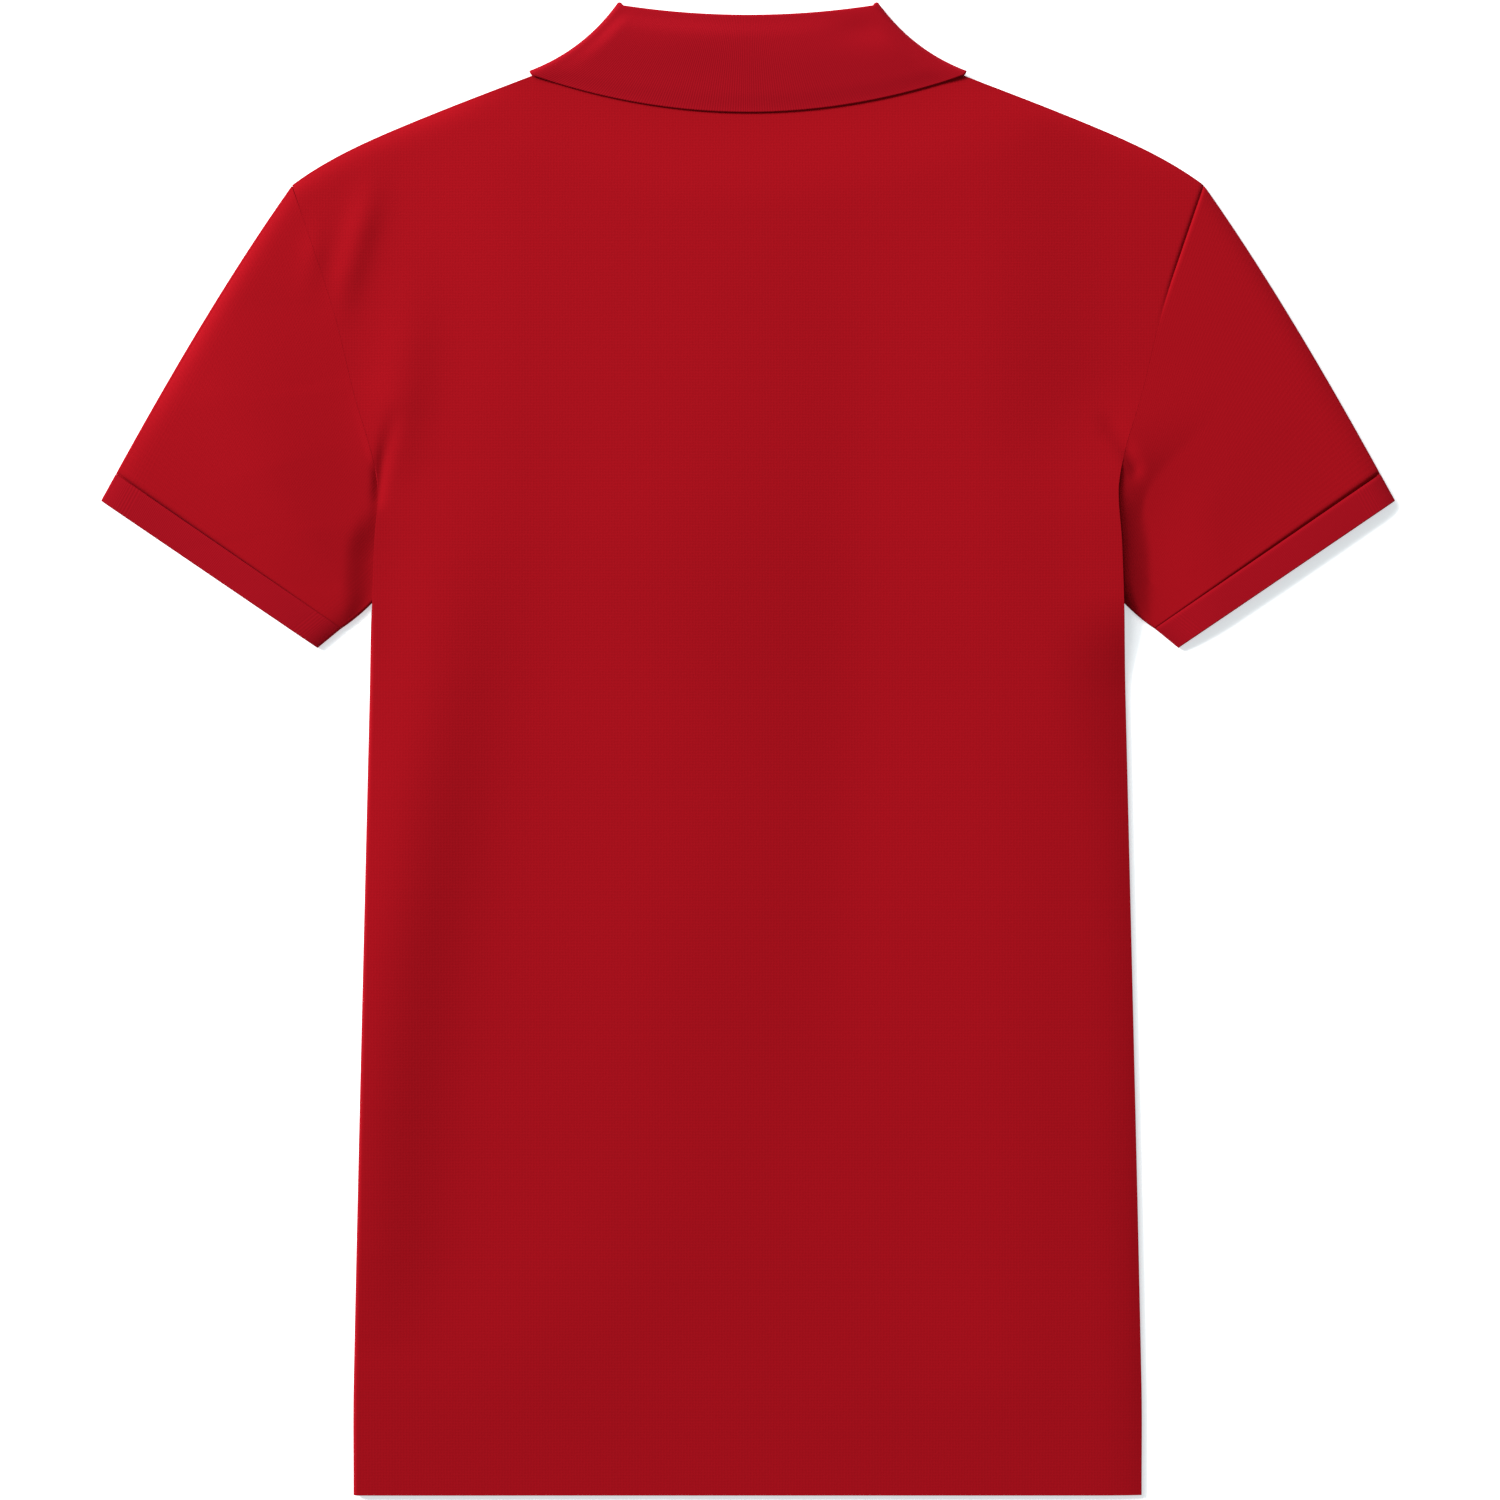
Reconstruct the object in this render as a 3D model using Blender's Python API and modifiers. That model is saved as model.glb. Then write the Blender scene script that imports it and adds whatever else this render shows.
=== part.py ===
"""Polo shirt laid flat on its front, back upward: its cut and sewn pieces as closed walls of cloth.

Metres, +Z up, +Y towards the collar, +X the right of the back as it is seen. The origin is the middle of
the outline, on the surface that the shirt lies on.
"""

import math

import bmesh
import bpy
from mathutils import Vector

COLLECTION = "polo_shirt"

# Cloth walls and the room between them
PIQUE = 0.0012
RIB = 0.0015
GAP = 0.0003
SEAM = 0.0004
LAYER = PIQUE + GAP

# Body: hem, shoulder points and the outer end of the shoulder
HEM_Y = -0.388
UNDERARM_Y = 0.070
NECK_X = 0.0942
NECK_Y = 0.3562
NECK_BACK_Y = 0.3505
NECK_FRONT_Y = 0.2830
TIP_X = 0.2366
TIP_Y = 0.2922
SHOULDER_SLOPE = 0.385
SHOULDER_ROUND = 0.0088
BODY_SIDE = (
    # height, half_width
    (-0.388, 0.2044),
    (-0.330, 0.2043),
    (0.070, 0.1950),
)
ARMHOLE = (
    # height, half_width
    (0.0700, 0.1950),
    (0.1050, 0.1938),
    (0.1400, 0.1925),
    (0.1860, 0.2049),
    (0.2280, 0.2153),
    (0.2922, 0.2366),
)

# Sleeve: its end at the body runs down the armhole, then tucks in under the edge of the back
CREASE_Y = 0.140
TUCK_Y = 0.096
CREASE_SHARE = (CREASE_Y - TUCK_Y) / (TIP_Y - TUCK_Y)
SLEEVE_MEETS = (0.0, 0.5 * CREASE_SHARE, CREASE_SHARE, 0.34, 0.48, 0.64, 0.82, 1.0)
TUCK_DEPTH = 0.0145
TIP_NOTCH = 0.0007
TIP_NOTCH_RUN = 0.015
SLEEVE_BEND = (0.2779, 0.2344)
UNDER_BEND = (0.1950, 0.0725)
CUFF_SEAM = ((0.2113, 0.0621), (0.3285, 0.1425))
CUFF_EDGE = ((0.2236, 0.0520), (0.3362, 0.1285))

# Collar: corners of its outline at the side of the neck, and its ends at the front opening
ROLL_SIDE = (0.0665, 0.3880)
LEAF_SIDE = (0.1140, 0.3516)
SIDE_HOLLOW = 0.0044
STAND_SHARE = 0.66
LEAF_BACK_Y = 0.3297
ROLL_BACK_Y = 0.3806
ROLL_END = (0.0050, 0.3010)
ROLL_BEND = (0.0500, 0.3180)
LEAF_END = (0.0520, 0.2400)
LEAF_BEND = (0.0980, 0.2720)
STAND_END = 0.985
COLLAR_FRONT = (1.0, 0.85, 0.70, 0.55, 0.40, 0.28, 0.17)
COLLAR_BACK = (0.06, 0.15, 0.27, 0.40, 0.55, 0.70, 0.85)
SIDE_TURN = (-90, -54, -18, 18, 54, 90)

# Placket and buttons
SLOT_HALF = 0.0153
SLOT_BOTTOM_Y = 0.1330
PLACKET_TOP_Y = NECK_FRONT_Y - 0.0006
UNDER_STRIP_HALF = 0.0190
UNDER_STRIP_BOTTOM_Y = 0.1290
BUTTON_RADIUS = 0.0055
BUTTON_THICK = 0.0018
BUTTON_RIM = 0.0004
BUTTON_YS = (0.2660, 0.2030)

# How the layers lie
NECK_LIFT = RIB + 2 * GAP
FRONT_LEVEL = PIQUE / 2
NECK_LEVEL = FRONT_LEVEL + NECK_LIFT + LAYER / 2
COLLAR_TURN = NECK_LEVEL - RIB - GAP / 2
ROLL_TURN = (RIB + GAP) / 2
LOFT = 0.0022
RIM = 0.010
EDGE_RUN = 0.0017
LEAF_CLEAR = 0.050
HEM_SETTLE = 0.060
HEM_LOFT = 0.35
CUFF_LOFT = 0.45
EDGE_RAISE = 0.0010
GROOVE_WIDTH = 0.024
GROOVE_FADE = 0.024

FOLDS = (
    # name, spread, points of (x, y, height)
    ("left side roll", 0.030, (
        (-0.157, 0.098, 0.0005), (-0.161, 0.035, 0.0010), (-0.173, -0.027, 0.0014),
        (-0.193, -0.183, 0.0014), (-0.198, -0.313, 0.0004))),
    ("armpit ridge", 0.015, (
        (-0.173, 0.249, 0.0003), (-0.174, 0.200, 0.0013), (-0.181, 0.140, 0.0005))),
    ("slanting rise near the hem", 0.042, (
        (-0.165, -0.355, 0.0005), (-0.124, -0.313, 0.0009), (-0.035, -0.230, 0.0002))),
    ("left middle ridge", 0.055, (
        (-0.030, 0.269, 0.0004), (-0.030, 0.129, 0.0012), (-0.035, -0.079, 0.0012),
        (-0.046, -0.261, 0.0006))),
    ("middle trough", 0.030, (
        (0.054, 0.285, -0.0002), (0.054, 0.098, -0.0007), (0.049, -0.079, -0.0007),
        (0.043, -0.209, -0.0002))),
    ("right ridge", 0.036, (
        (0.131, 0.275, 0.0003), (0.131, 0.181, 0.0010), (0.136, -0.027, 0.0010),
        (0.136, -0.318, 0.0006))),
    ("left sleeve swell", 0.040, (
        (-0.267, 0.228, 0.0008), (-0.282, 0.181, 0.0013), (-0.272, 0.145, 0.0010))),
    ("left underarm ridge", 0.030, (
        (-0.253, 0.129, 0.0005), (-0.251, 0.067, 0.0012))),
    ("right sleeve swell", 0.040, (
        (0.253, 0.056, 0.0009), (0.282, 0.072, 0.0013), (0.323, 0.108, 0.0009))),
)


def clamp(value):
    return min(1.0, max(0.0, value))


def smooth(start, end, value):
    t = clamp((value - start) / (end - start))
    return t * t * (3 - 2 * t)


def mix(a, b, t):
    return a + (b - a) * t


def mix2(a, b, t):
    return Vector((mix(a[0], b[0], t), mix(a[1], b[1], t)))


def bend(start, middle, end, t):
    """Point at t on the quadratic curve from start to end that is drawn towards middle."""
    return mix2(mix2(start, middle, t), mix2(middle, end, t), t)


def along(rows, height):
    """Value at a height on the smooth curve through rows of (height, value)."""
    last = len(rows) - 1
    k = max(i for i in range(last) if i == 0 or rows[i][0] <= height)
    slopes = []
    for i in (k, k + 1):
        low, high = rows[max(0, i - 1)], rows[min(last, i + 1)]
        slopes.append((high[1] - low[1]) / (high[0] - low[0]))
    span = rows[k + 1][0] - rows[k][0]
    t = (height - rows[k][0]) / span
    return (rows[k][1] * (1 + 2 * t) * (1 - t) ** 2 + rows[k + 1][1] * t * t * (3 - 2 * t)
            + slopes[0] * span * t * (1 - t) ** 2 - slopes[1] * span * t * t * (1 - t))


# Outline

def half_width(y):
    return along(BODY_SIDE, y) if y < UNDERARM_Y else along(ARMHOLE, y)


def shoulder_y(x):
    s = abs(x) - NECK_X
    return NECK_Y - SEAM - SHOULDER_SLOPE * s - SHOULDER_ROUND * (s / (TIP_X - NECK_X)) ** 6


def back_neck_y(x):
    return mix(NECK_BACK_Y, NECK_Y, (x / NECK_X) ** 2) - SEAM


def front_neck_y(x):
    across = clamp(abs(x) / NECK_X)
    return NECK_Y - SEAM - (NECK_Y - NECK_FRONT_Y) * math.sqrt(1 - across * across)


def sleeve_end_x(y):
    """Where the sleeve's end lies: along the armhole, and under the back below the crease."""
    if y >= CREASE_Y:
        return half_width(y) + SEAM + TIP_NOTCH * smooth(TIP_Y - TIP_NOTCH_RUN, TIP_Y, y)
    tucked = (CREASE_Y - y) / (CREASE_Y - TUCK_Y)
    return half_width(CREASE_Y) + SEAM - TUCK_DEPTH * tucked


def front_side_x(y):
    """Side of the front: it meets the sleeve's end, then runs out below it to the side seam."""
    if y < UNDERARM_Y:
        return half_width(y)
    if y >= TUCK_Y:
        return sleeve_end_x(y) - 1.3 * SEAM
    inner = sleeve_end_x(TUCK_Y) - 1.3 * SEAM
    return mix(half_width(UNDERARM_Y), inner, (y - UNDERARM_Y) / (TUCK_Y - UNDERARM_Y))


# Heights of the layers

def front_z(x, y):
    """Middle of the front's wall: on the surface, and lifted over the collar and buttons near the neck."""
    lift = smooth(0.020, 0.120, y) * (1 - smooth(0.118, 0.190, abs(x)))
    return FRONT_LEVEL + NECK_LIFT * lift


def leaf_edge_y(x):
    return mix(LEAF_BACK_Y, LEAF_SIDE[1], (x / LEAF_SIDE[0]) ** 2)


def clear_of_leaf(x, y):
    """0 under the collar's leaf, where the layers lie tight, and 1 well below it."""
    beside = max(0.0, abs(x) - LEAF_SIDE[0])
    below = max(0.0, leaf_edge_y(min(abs(x), LEAF_SIDE[0])) - y)
    return smooth(0.0, LEAF_CLEAR, math.hypot(beside, below))


def fold_height(x, y):
    """Sum of the folds: each follows a line of points, whose heights it takes over in between."""
    total = 0.0
    for name, spread, points in FOLDS:
        nearest = 4 * spread
        height = 0.0
        for (x0, y0, h0), (x1, y1, h1) in zip(points, points[1:]):
            run_x, run_y = x1 - x0, y1 - y0
            t = clamp(((x - x0) * run_x + (y - y0) * run_y) / (run_x ** 2 + run_y ** 2))
            off = math.hypot(x - x0 - run_x * t, y - y0 - run_y * t)
            if off < nearest:
                nearest = off
                height = mix(h0, h1, t)
        total += height * math.exp(-(nearest / spread) ** 2)
    return total


def loft(x, y):
    """How far the upper layer stands above where it would touch the lower one."""
    settle = mix(HEM_LOFT, 1.0, smooth(0, HEM_SETTLE, y - HEM_Y))
    return max(0.0, LOFT + fold_height(x, y)) * clear_of_leaf(x, y) * settle


def rim(distance):
    """Share of the loft at a distance in from a folded or sewn edge."""
    return math.sin(math.pi / 2 * clamp(distance / RIM))


def back_z(x, y):
    """Middle of the back's wall: rounded down to the front at its edges, and over the sleeve's end."""
    across = abs(x)
    top = rim(0.93 * (shoulder_y(across) - y)) if across > NECK_X else 1.0
    side = mix(rim(half_width(y) - across), 1.0, smooth(0.045, 0.075, y))
    over_sleeve = smooth(0.075, 0.100, y) * (1 - smooth(0.130, 0.175, y))
    edge = math.exp(-((half_width(y) - across) / 0.012) ** 2)
    height = loft(x, y) * top * side + EDGE_RAISE * over_sleeve * edge
    return front_z(x, y) + LAYER + height


def sleeve_loft(x, y):
    """Loft of the sleeve's upper layer: none in the groove beside the edge of the back."""
    across = abs(x)
    beside = 1 - smooth(0.0, GROOVE_WIDTH, across - half_width(max(y, UNDERARM_Y)))
    below = 1 - smooth(CREASE_Y, CREASE_Y + GROOVE_FADE, y)
    return loft(x, y) * (1 - beside * below)


# Sheets and walls

def new_object(name, mesh, collection, colour, roughness):
    material = bpy.data.materials.new(name)
    material.use_nodes = True
    shader = material.node_tree.nodes["Principled BSDF"]
    shader.inputs["Base Color"].default_value = colour
    shader.inputs["Roughness"].default_value = roughness
    shader.inputs["Metallic"].default_value = 0.0
    mesh.materials.append(material)
    obj = bpy.data.objects.new(name, mesh)
    collection.objects.link(obj)
    return obj


def sheet(name, columns, rows, place, thickness, collection, colour, keep=None, ring=False):
    """Wall of cloth: a grid whose points place(column, row) sets, thickened evenly to both sides."""
    bm = bmesh.new()
    bmesh.ops.create_grid(bm, x_segments=len(columns) - 1, y_segments=len(rows) - 1, size=1)
    cells = {}
    for vert in bm.verts:
        i = round((vert.co.x + 1) / 2 * (len(columns) - 1))
        j = round((vert.co.y + 1) / 2 * (len(rows) - 1))
        cells[vert] = (i, j)
    if keep:
        dropped = []
        for face in bm.faces:
            column = sum(columns[cells[v][0]] for v in face.verts) / 4
            row = sum(rows[cells[v][1]] for v in face.verts) / 4
            if not keep(column, row):
                dropped.append(face)
        bmesh.ops.delete(bm, geom=dropped, context="FACES")
    for vert in bm.verts:
        i, j = cells[vert]
        vert.co = place(columns[i], rows[j])
    if ring:
        bmesh.ops.remove_doubles(bm, verts=bm.verts, dist=1e-6)
    mesh = bpy.data.meshes.new(name)
    bm.to_mesh(mesh)
    bm.free()
    mesh.shade_smooth()
    obj = new_object(name, mesh, collection, colour, 0.85)
    wall = obj.modifiers.new("wall", "SOLIDIFY")
    wall.thickness = thickness
    wall.offset = 0.0
    wall.use_even_offset = True
    return obj


def both_ways(steps):
    """Steps from 0 up, mirrored to the other side of 0."""
    return [-s for s in reversed(steps) if s > 0] + list(steps)


# Front and back

EDGE_STEPS = (0.0, 0.0015, 0.0040, 0.0080, 0.0150)


def body_columns(inner):
    """Half widths at the underarm through which the grid's lines run, as shares of the whole."""
    full = half_width(UNDERARM_Y)
    shoulder = [NECK_X, 0.113, 0.136, 0.159]
    outer = [full - step for step in EDGE_STEPS]
    return both_ways([x / full for x in sorted(set(list(inner) + shoulder + outer))])


def body_rows(lower, upper):
    """Heights of the grid's lines at the side: level below the underarm, and fanning out above it."""
    shoulder = [TIP_Y - step for step in EDGE_STEPS]
    return sorted(set([HEM_Y] + list(lower) + [UNDERARM_Y] + list(upper) + shoulder))


def body_point(across, y, side_x, neck_y):
    """Plan of a body panel: level rows up to the underarm, then fanning up to the neck and shoulders."""
    if y <= UNDERARM_Y:
        return Vector((across * side_x(y), y))
    full = side_x(UNDERARM_Y)
    neck = NECK_X / full
    t = (y - UNDERARM_Y) / (TIP_Y - UNDERARM_Y)
    share = abs(across)
    if share <= neck:
        top = Vector((share * full, neck_y(share * full)))
    else:
        x = mix(NECK_X, TIP_X, (share - neck) / (1 - neck))
        top = Vector((x, shoulder_y(x)))
    bottom = Vector((share * full, UNDERARM_Y))
    point = bottom.lerp(top, t)
    drawn = side_x(y) - mix(full, side_x(TIP_Y), t)
    overshoot = side_x(TIP_Y) - TIP_X
    point.x += share ** 3 * (drawn + overshoot * t)
    return Vector((math.copysign(point.x, across), point.y))


def make_back(collection, colour):
    def place(across, y):
        plan = body_point(across, y, half_width, back_neck_y)
        return Vector((plan.x, plan.y, back_z(plan.x, plan.y)))

    lower = [-0.380, -0.365, -0.340, -0.310, -0.280, -0.250, -0.220, -0.190, -0.160, -0.130,
             -0.100, -0.070, -0.040, -0.010, 0.015, 0.035, 0.053]
    upper = [0.088, 0.105, 0.122, CREASE_Y, 0.158, 0.176, 0.194, 0.212, 0.230, 0.248, 0.264]
    columns = body_columns([0.0, 0.024, 0.047, 0.070])
    return sheet("back", columns, body_rows(lower, upper), place, PIQUE, collection, colour)


def make_front(collection, colour):
    full = half_width(UNDERARM_Y)

    def place(across, y):
        plan = body_point(across, y, front_side_x, front_neck_y)
        return Vector((plan.x, plan.y, front_z(plan.x, plan.y)))

    def keep(across, y):
        return abs(across) * full > SLOT_HALF or y < slot_row

    slot_row = mix(UNDERARM_Y, TIP_Y, (SLOT_BOTTOM_Y - UNDERARM_Y) / (NECK_FRONT_Y - UNDERARM_Y))
    lower = [-0.300, -0.200, -0.100, -0.010, 0.015, 0.035, 0.053]
    upper = [mix(TUCK_Y, TIP_Y, a) for a in SLEEVE_MEETS[:-1]] + [slot_row]
    columns = body_columns([SLOT_HALF] + [NECK_X * math.cos(math.pi / 2 * STAND_END * g)
                                          for g in COLLAR_FRONT[1:]])
    return sheet("front", columns, body_rows(lower, upper), place, PIQUE, collection, colour, keep=keep)


# Sleeves and cuffs

def sleeve_point(a, b):
    """Plan of the right sleeve: a runs from the underarm seam to the folded top, b from body to cuff."""
    tuck = Vector((sleeve_end_x(TUCK_Y), TUCK_Y))
    tip = Vector((sleeve_end_x(TIP_Y), TIP_Y))
    y = mix(TUCK_Y, TIP_Y, a)
    body_end = Vector((sleeve_end_x(y), y))
    cuff_end = mix2(CUFF_SEAM[0], CUFF_SEAM[1], a)
    under = bend(tuck, UNDER_BEND, CUFF_SEAM[0], b)
    top = bend(tip, SLEEVE_BEND, CUFF_SEAM[1], b)
    ruled = mix2(body_end, cuff_end, b) + mix2(under, top, a)
    corners = mix2(mix2(tuck, tip, a), mix2(CUFF_SEAM[0], CUFF_SEAM[1], a), b)
    return ruled - corners


def cuff_point(a, b):
    """Plan of the right cuff: b runs from its seam to its edge."""
    seam = mix2(CUFF_SEAM[0], CUFF_SEAM[1], a)
    edge = mix2(CUFF_EDGE[0], CUFF_EDGE[1], a)
    return mix2(seam, edge, mix(SEAM / (seam - edge).length, 1.0, b))


RING_TURN = (-45, 0, 45)
RING_HIGH = (0.0, 0.0022, 0.0060, 0.0130, 0.0240)
RING_MIDDLE = (CREASE_SHARE, 0.34, 0.48, 0.64, 0.78)


def ring_steps():
    """Stations round a flattened tube: its lower layer, the folded top, its upper layer, the underarm."""
    steps = [("low", share) for share in SLEEVE_MEETS]
    steps += [("top turn", angle) for angle in RING_TURN]
    steps += [("from top", run) for run in RING_HIGH]
    steps += [("middle", share) for share in reversed(RING_MIDDLE)]
    steps += [("from under", run) for run in reversed(RING_HIGH)]
    steps += [("under turn", -angle) for angle in RING_TURN]
    return steps


def tube_point(step, b, plan, thickness, settle):
    """Point on the middle of a flattened tube's wall at a station of its ring."""
    kind, value = step
    width = (plan(1, b) - plan(0, b)).length

    def high(a):
        spot = plan(a, b)
        from_edge = min(a, 1 - a) * width
        return LAYER + sleeve_loft(spot.x, spot.y) * settle(b) * rim(from_edge)

    at_top = kind in ("top turn", "from top") or (kind == "low" and value > 0.5)
    turn = high(1 - EDGE_RUN / width if at_top else EDGE_RUN / width) / 2
    run = turn + thickness / 2
    if kind == "low":
        a = min(1 - run / width, max(run / width, value))
        z = 0.0
    elif kind == "middle":
        a = value
        z = high(a)
    elif kind in ("from top", "from under"):
        a = (run + value) / width
        a = 1 - a if kind == "from top" else a
        z = high(a) if value else 2 * turn
    else:
        angle = math.radians(value)
        from_edge = run - turn * math.cos(angle)
        a = from_edge / width
        a = 1 - a if kind == "top turn" else a
        z = turn + turn * math.sin(angle)
    spot = plan(a, b)
    return Vector((spot.x, spot.y, thickness / 2 + z))


def make_tube(name, side, plan, rows, thickness, settle, collection, colour):
    steps = ring_steps()

    def mirrored(a, b):
        spot = plan(a, b)
        return Vector((side * spot.x, spot.y))

    def place(station, b):
        return tube_point(steps[round(station) % len(steps)], b, mirrored, thickness, settle)

    return sheet(name, list(range(len(steps) + 1)), rows, place, thickness, collection, colour, ring=True)


def make_sleeves(collection, colour):
    rows = [0.0, 0.02, 0.06, 0.12, 0.20, 0.30, 0.42, 0.54, 0.66, 0.78, 0.89, 1.0]
    for name, side in (("sleeve_left", -1), ("sleeve_right", 1)):
        make_tube(name, side, sleeve_point, rows, PIQUE, lambda b: mix(1, CUFF_LOFT, smooth(0.6, 1, b)),
                  collection, colour)


def make_cuffs(collection, colour):
    for name, side in (("cuff_left", -1), ("cuff_right", 1)):
        make_tube(name, side, cuff_point, [0.0, 0.5, 1.0], RIB, lambda b: CUFF_LOFT, collection, colour)


# Collar

def side_frame():
    """Directions of the fold at the side of the neck: up along it and out from it."""
    up = (Vector(ROLL_SIDE) - Vector(LEAF_SIDE)).normalized()
    return up, Vector((-up.y, up.x)) * -1


def side_axis(w):
    """Line that the collar folds round at the side, from the leaf's edge (0) to the roll (1)."""
    up, out = side_frame()
    inset = out * (COLLAR_TURN + ROLL_TURN + RIB / 2)
    low = Vector(LEAF_SIDE) - inset
    high = Vector(ROLL_SIDE) - inset - up * (ROLL_TURN + RIB / 2)
    return low.lerp(high, w) - out * SIDE_HOLLOW * 4 * w * (1 - w)


def collar_edges(run, g):
    """Plan points of the stand's, the roll's and the leaf's lines at share g of a run from the side."""
    stand = side_axis(1 - STAND_SHARE)
    roll = side_axis(1)
    leaf = side_axis(0)
    if run == "back":
        share = 1 - g
        return (Vector((stand.x * share, mix(NECK_BACK_Y, stand.y, share ** 2))),
                Vector((roll.x * share, mix(ROLL_BACK_Y - ROLL_TURN - RIB / 2, roll.y, share ** 2))),
                Vector((leaf.x * share, mix(LEAF_BACK_Y, leaf.y, share ** 2))))
    turn = math.pi / 2 * STAND_END * g
    neck = Vector((stand.x * math.cos(turn), stand.y - (stand.y - NECK_FRONT_Y) * math.sin(turn)))
    return neck, bend(roll, ROLL_BEND, ROLL_END, g), bend(leaf, LEAF_BEND, LEAF_END, g)


def collar_plan(run, g, part, w):
    """Plan of the stand or the leaf, w from its free edge to the roll, hollowed near the side."""
    stand, roll, leaf = collar_edges(run, g)
    start = 1 - STAND_SHARE if part == "stand" else 0.0
    free = stand if part == "stand" else leaf
    at_side = mix(start, 1.0, w)
    hollow = side_axis(at_side) - side_axis(start).lerp(side_axis(1), w)
    return free.lerp(roll, w) + hollow * (1 - g) ** 3


def collar_stations():
    """Stations along the strip from its left end at the front, round the back, to its right end."""
    half = [("front", g) for g in COLLAR_FRONT]
    half += [("turn", angle) for angle in SIDE_TURN]
    half += [("back", g) for g in COLLAR_BACK]
    left = [(-1, kind, value) for kind, value in half]
    right = [(1, kind, value) for kind, value in half]
    return left + [(1, "back", 1.0)] + right[::-1]


def collar_point(station, level):
    """Point on the middle of the collar's wall; level counts leaf, roll and stand lines."""
    side, kind, value = station
    part, share = level
    up, out = side_frame()
    if kind == "turn":
        angle = math.radians(value)
        run, g = "back", 0.0
        normal = Vector((out.x * math.cos(angle), out.y * math.cos(angle), math.sin(angle)))
    else:
        run, g = kind, value
        normal = Vector((0, 0, 1 if kind == "back" else -1))
    body = "leaf" if part == "leaf" else "stand"
    plan = collar_plan(run, g, body, share if part != "roll" else 1.0)
    middle = Vector((plan.x, plan.y, NECK_LEVEL)) + normal * COLLAR_TURN
    if part == "roll":
        stand, roll, leaf = collar_edges(run, g)
        rise = (roll - leaf).normalized()
        bent = math.radians(share)
        point = middle + ROLL_TURN * (math.cos(bent) * normal + math.sin(bent) * Vector((rise.x, rise.y, 0)))
    elif part == "leaf":
        point = middle + ROLL_TURN * normal
    else:
        point = middle - ROLL_TURN * normal
    return Vector((side * point.x, point.y, point.z))


def make_collar(collection, colour):
    stations = collar_stations()
    levels = [("leaf", w) for w in (0.0, 0.2, 0.45, 0.7, 0.9, 1.0)]
    levels += [("roll", angle) for angle in (36, 72, 108, 144)]
    levels += [("stand", w) for w in (1.0, 0.85, 0.5, 0.0)]

    def place(i, j):
        return collar_point(stations[i], levels[j])

    return sheet("collar", list(range(len(stations))), list(range(len(levels))), place, RIB, collection, colour)


# Placket and buttons

def make_strip(name, half, bottom, top, level, collection, colour):
    bm = bmesh.new()
    bmesh.ops.create_cube(bm, size=1)
    bmesh.ops.scale(bm, vec=(2 * half, top - bottom, PIQUE), verts=bm.verts)
    mesh = bpy.data.meshes.new(name)
    bm.to_mesh(mesh)
    bm.free()
    strip = new_object(name, mesh, collection, colour, 0.85)
    strip.location = (0, (top + bottom) / 2, level)


def make_placket(collection, colour):
    outer = FRONT_LEVEL + NECK_LIFT
    make_strip("placket_upper", SLOT_HALF - GAP, SLOT_BOTTOM_Y + GAP, PLACKET_TOP_Y, outer, collection, colour)
    make_strip("placket_under", UNDER_STRIP_HALF, UNDER_STRIP_BOTTOM_Y, PLACKET_TOP_Y, outer + LAYER,
               collection, colour)


def make_buttons(collection, colour):
    for number, y in enumerate(BUTTON_YS, 1):
        bm = bmesh.new()
        bmesh.ops.create_cone(bm, cap_ends=True, segments=24, radius1=BUTTON_RADIUS, radius2=BUTTON_RADIUS,
                              depth=BUTTON_THICK)
        mesh = bpy.data.meshes.new(f"button_{number}")
        bm.to_mesh(mesh)
        bm.free()
        button = new_object(f"button_{number}", mesh, collection, colour, 0.35)
        button.location = (0, y, BUTTON_THICK / 2)
        edge = button.modifiers.new("rounded rim", "BEVEL")
        edge.width = BUTTON_RIM
        edge.segments = 2


def main():
    for obj in list(bpy.data.objects):
        bpy.data.objects.remove(obj)
    collection = bpy.data.collections.new(COLLECTION)
    bpy.context.scene.collection.children.link(collection)
    pique = (0.39, 0.006, 0.012, 1)
    rib = (0.36, 0.006, 0.014, 1)
    button = (0.30, 0.006, 0.010, 1)
    make_back(collection, pique)
    make_front(collection, pique)
    make_sleeves(collection, pique)
    make_cuffs(collection, rib)
    make_collar(collection, rib)
    make_placket(collection, pique)
    make_buttons(collection, button)


main()
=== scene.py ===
"""Looks of the polo shirt: its cloth as fine sheets on the forms of its solids, with knit, seams and light.

Metres, +Z up, +Y towards the collar. The shirt lies on its front on a white floor, seen from straight above.
Left and right are as the back is seen. A pair of numbers is a point (x, y) or the two ends of a range.
"""

import math

import bmesh
import bpy
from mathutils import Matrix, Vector


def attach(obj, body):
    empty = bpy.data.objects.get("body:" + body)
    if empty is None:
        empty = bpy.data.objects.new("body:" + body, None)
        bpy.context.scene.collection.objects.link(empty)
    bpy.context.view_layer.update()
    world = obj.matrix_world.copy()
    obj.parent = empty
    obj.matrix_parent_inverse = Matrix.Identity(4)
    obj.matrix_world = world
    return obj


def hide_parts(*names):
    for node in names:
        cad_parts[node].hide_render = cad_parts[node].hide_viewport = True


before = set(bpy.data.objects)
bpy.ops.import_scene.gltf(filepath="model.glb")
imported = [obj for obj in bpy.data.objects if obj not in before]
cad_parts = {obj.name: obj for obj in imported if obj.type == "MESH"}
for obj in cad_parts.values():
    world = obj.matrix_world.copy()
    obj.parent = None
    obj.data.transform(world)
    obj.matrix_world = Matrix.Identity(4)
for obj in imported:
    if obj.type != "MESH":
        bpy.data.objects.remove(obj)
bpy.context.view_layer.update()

# Cloth walls and the room between them
PIQUE = 0.0012
RIB = 0.0015
GAP = 0.0003
SEAM = 0.0004
LAYER = PIQUE + GAP

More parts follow.
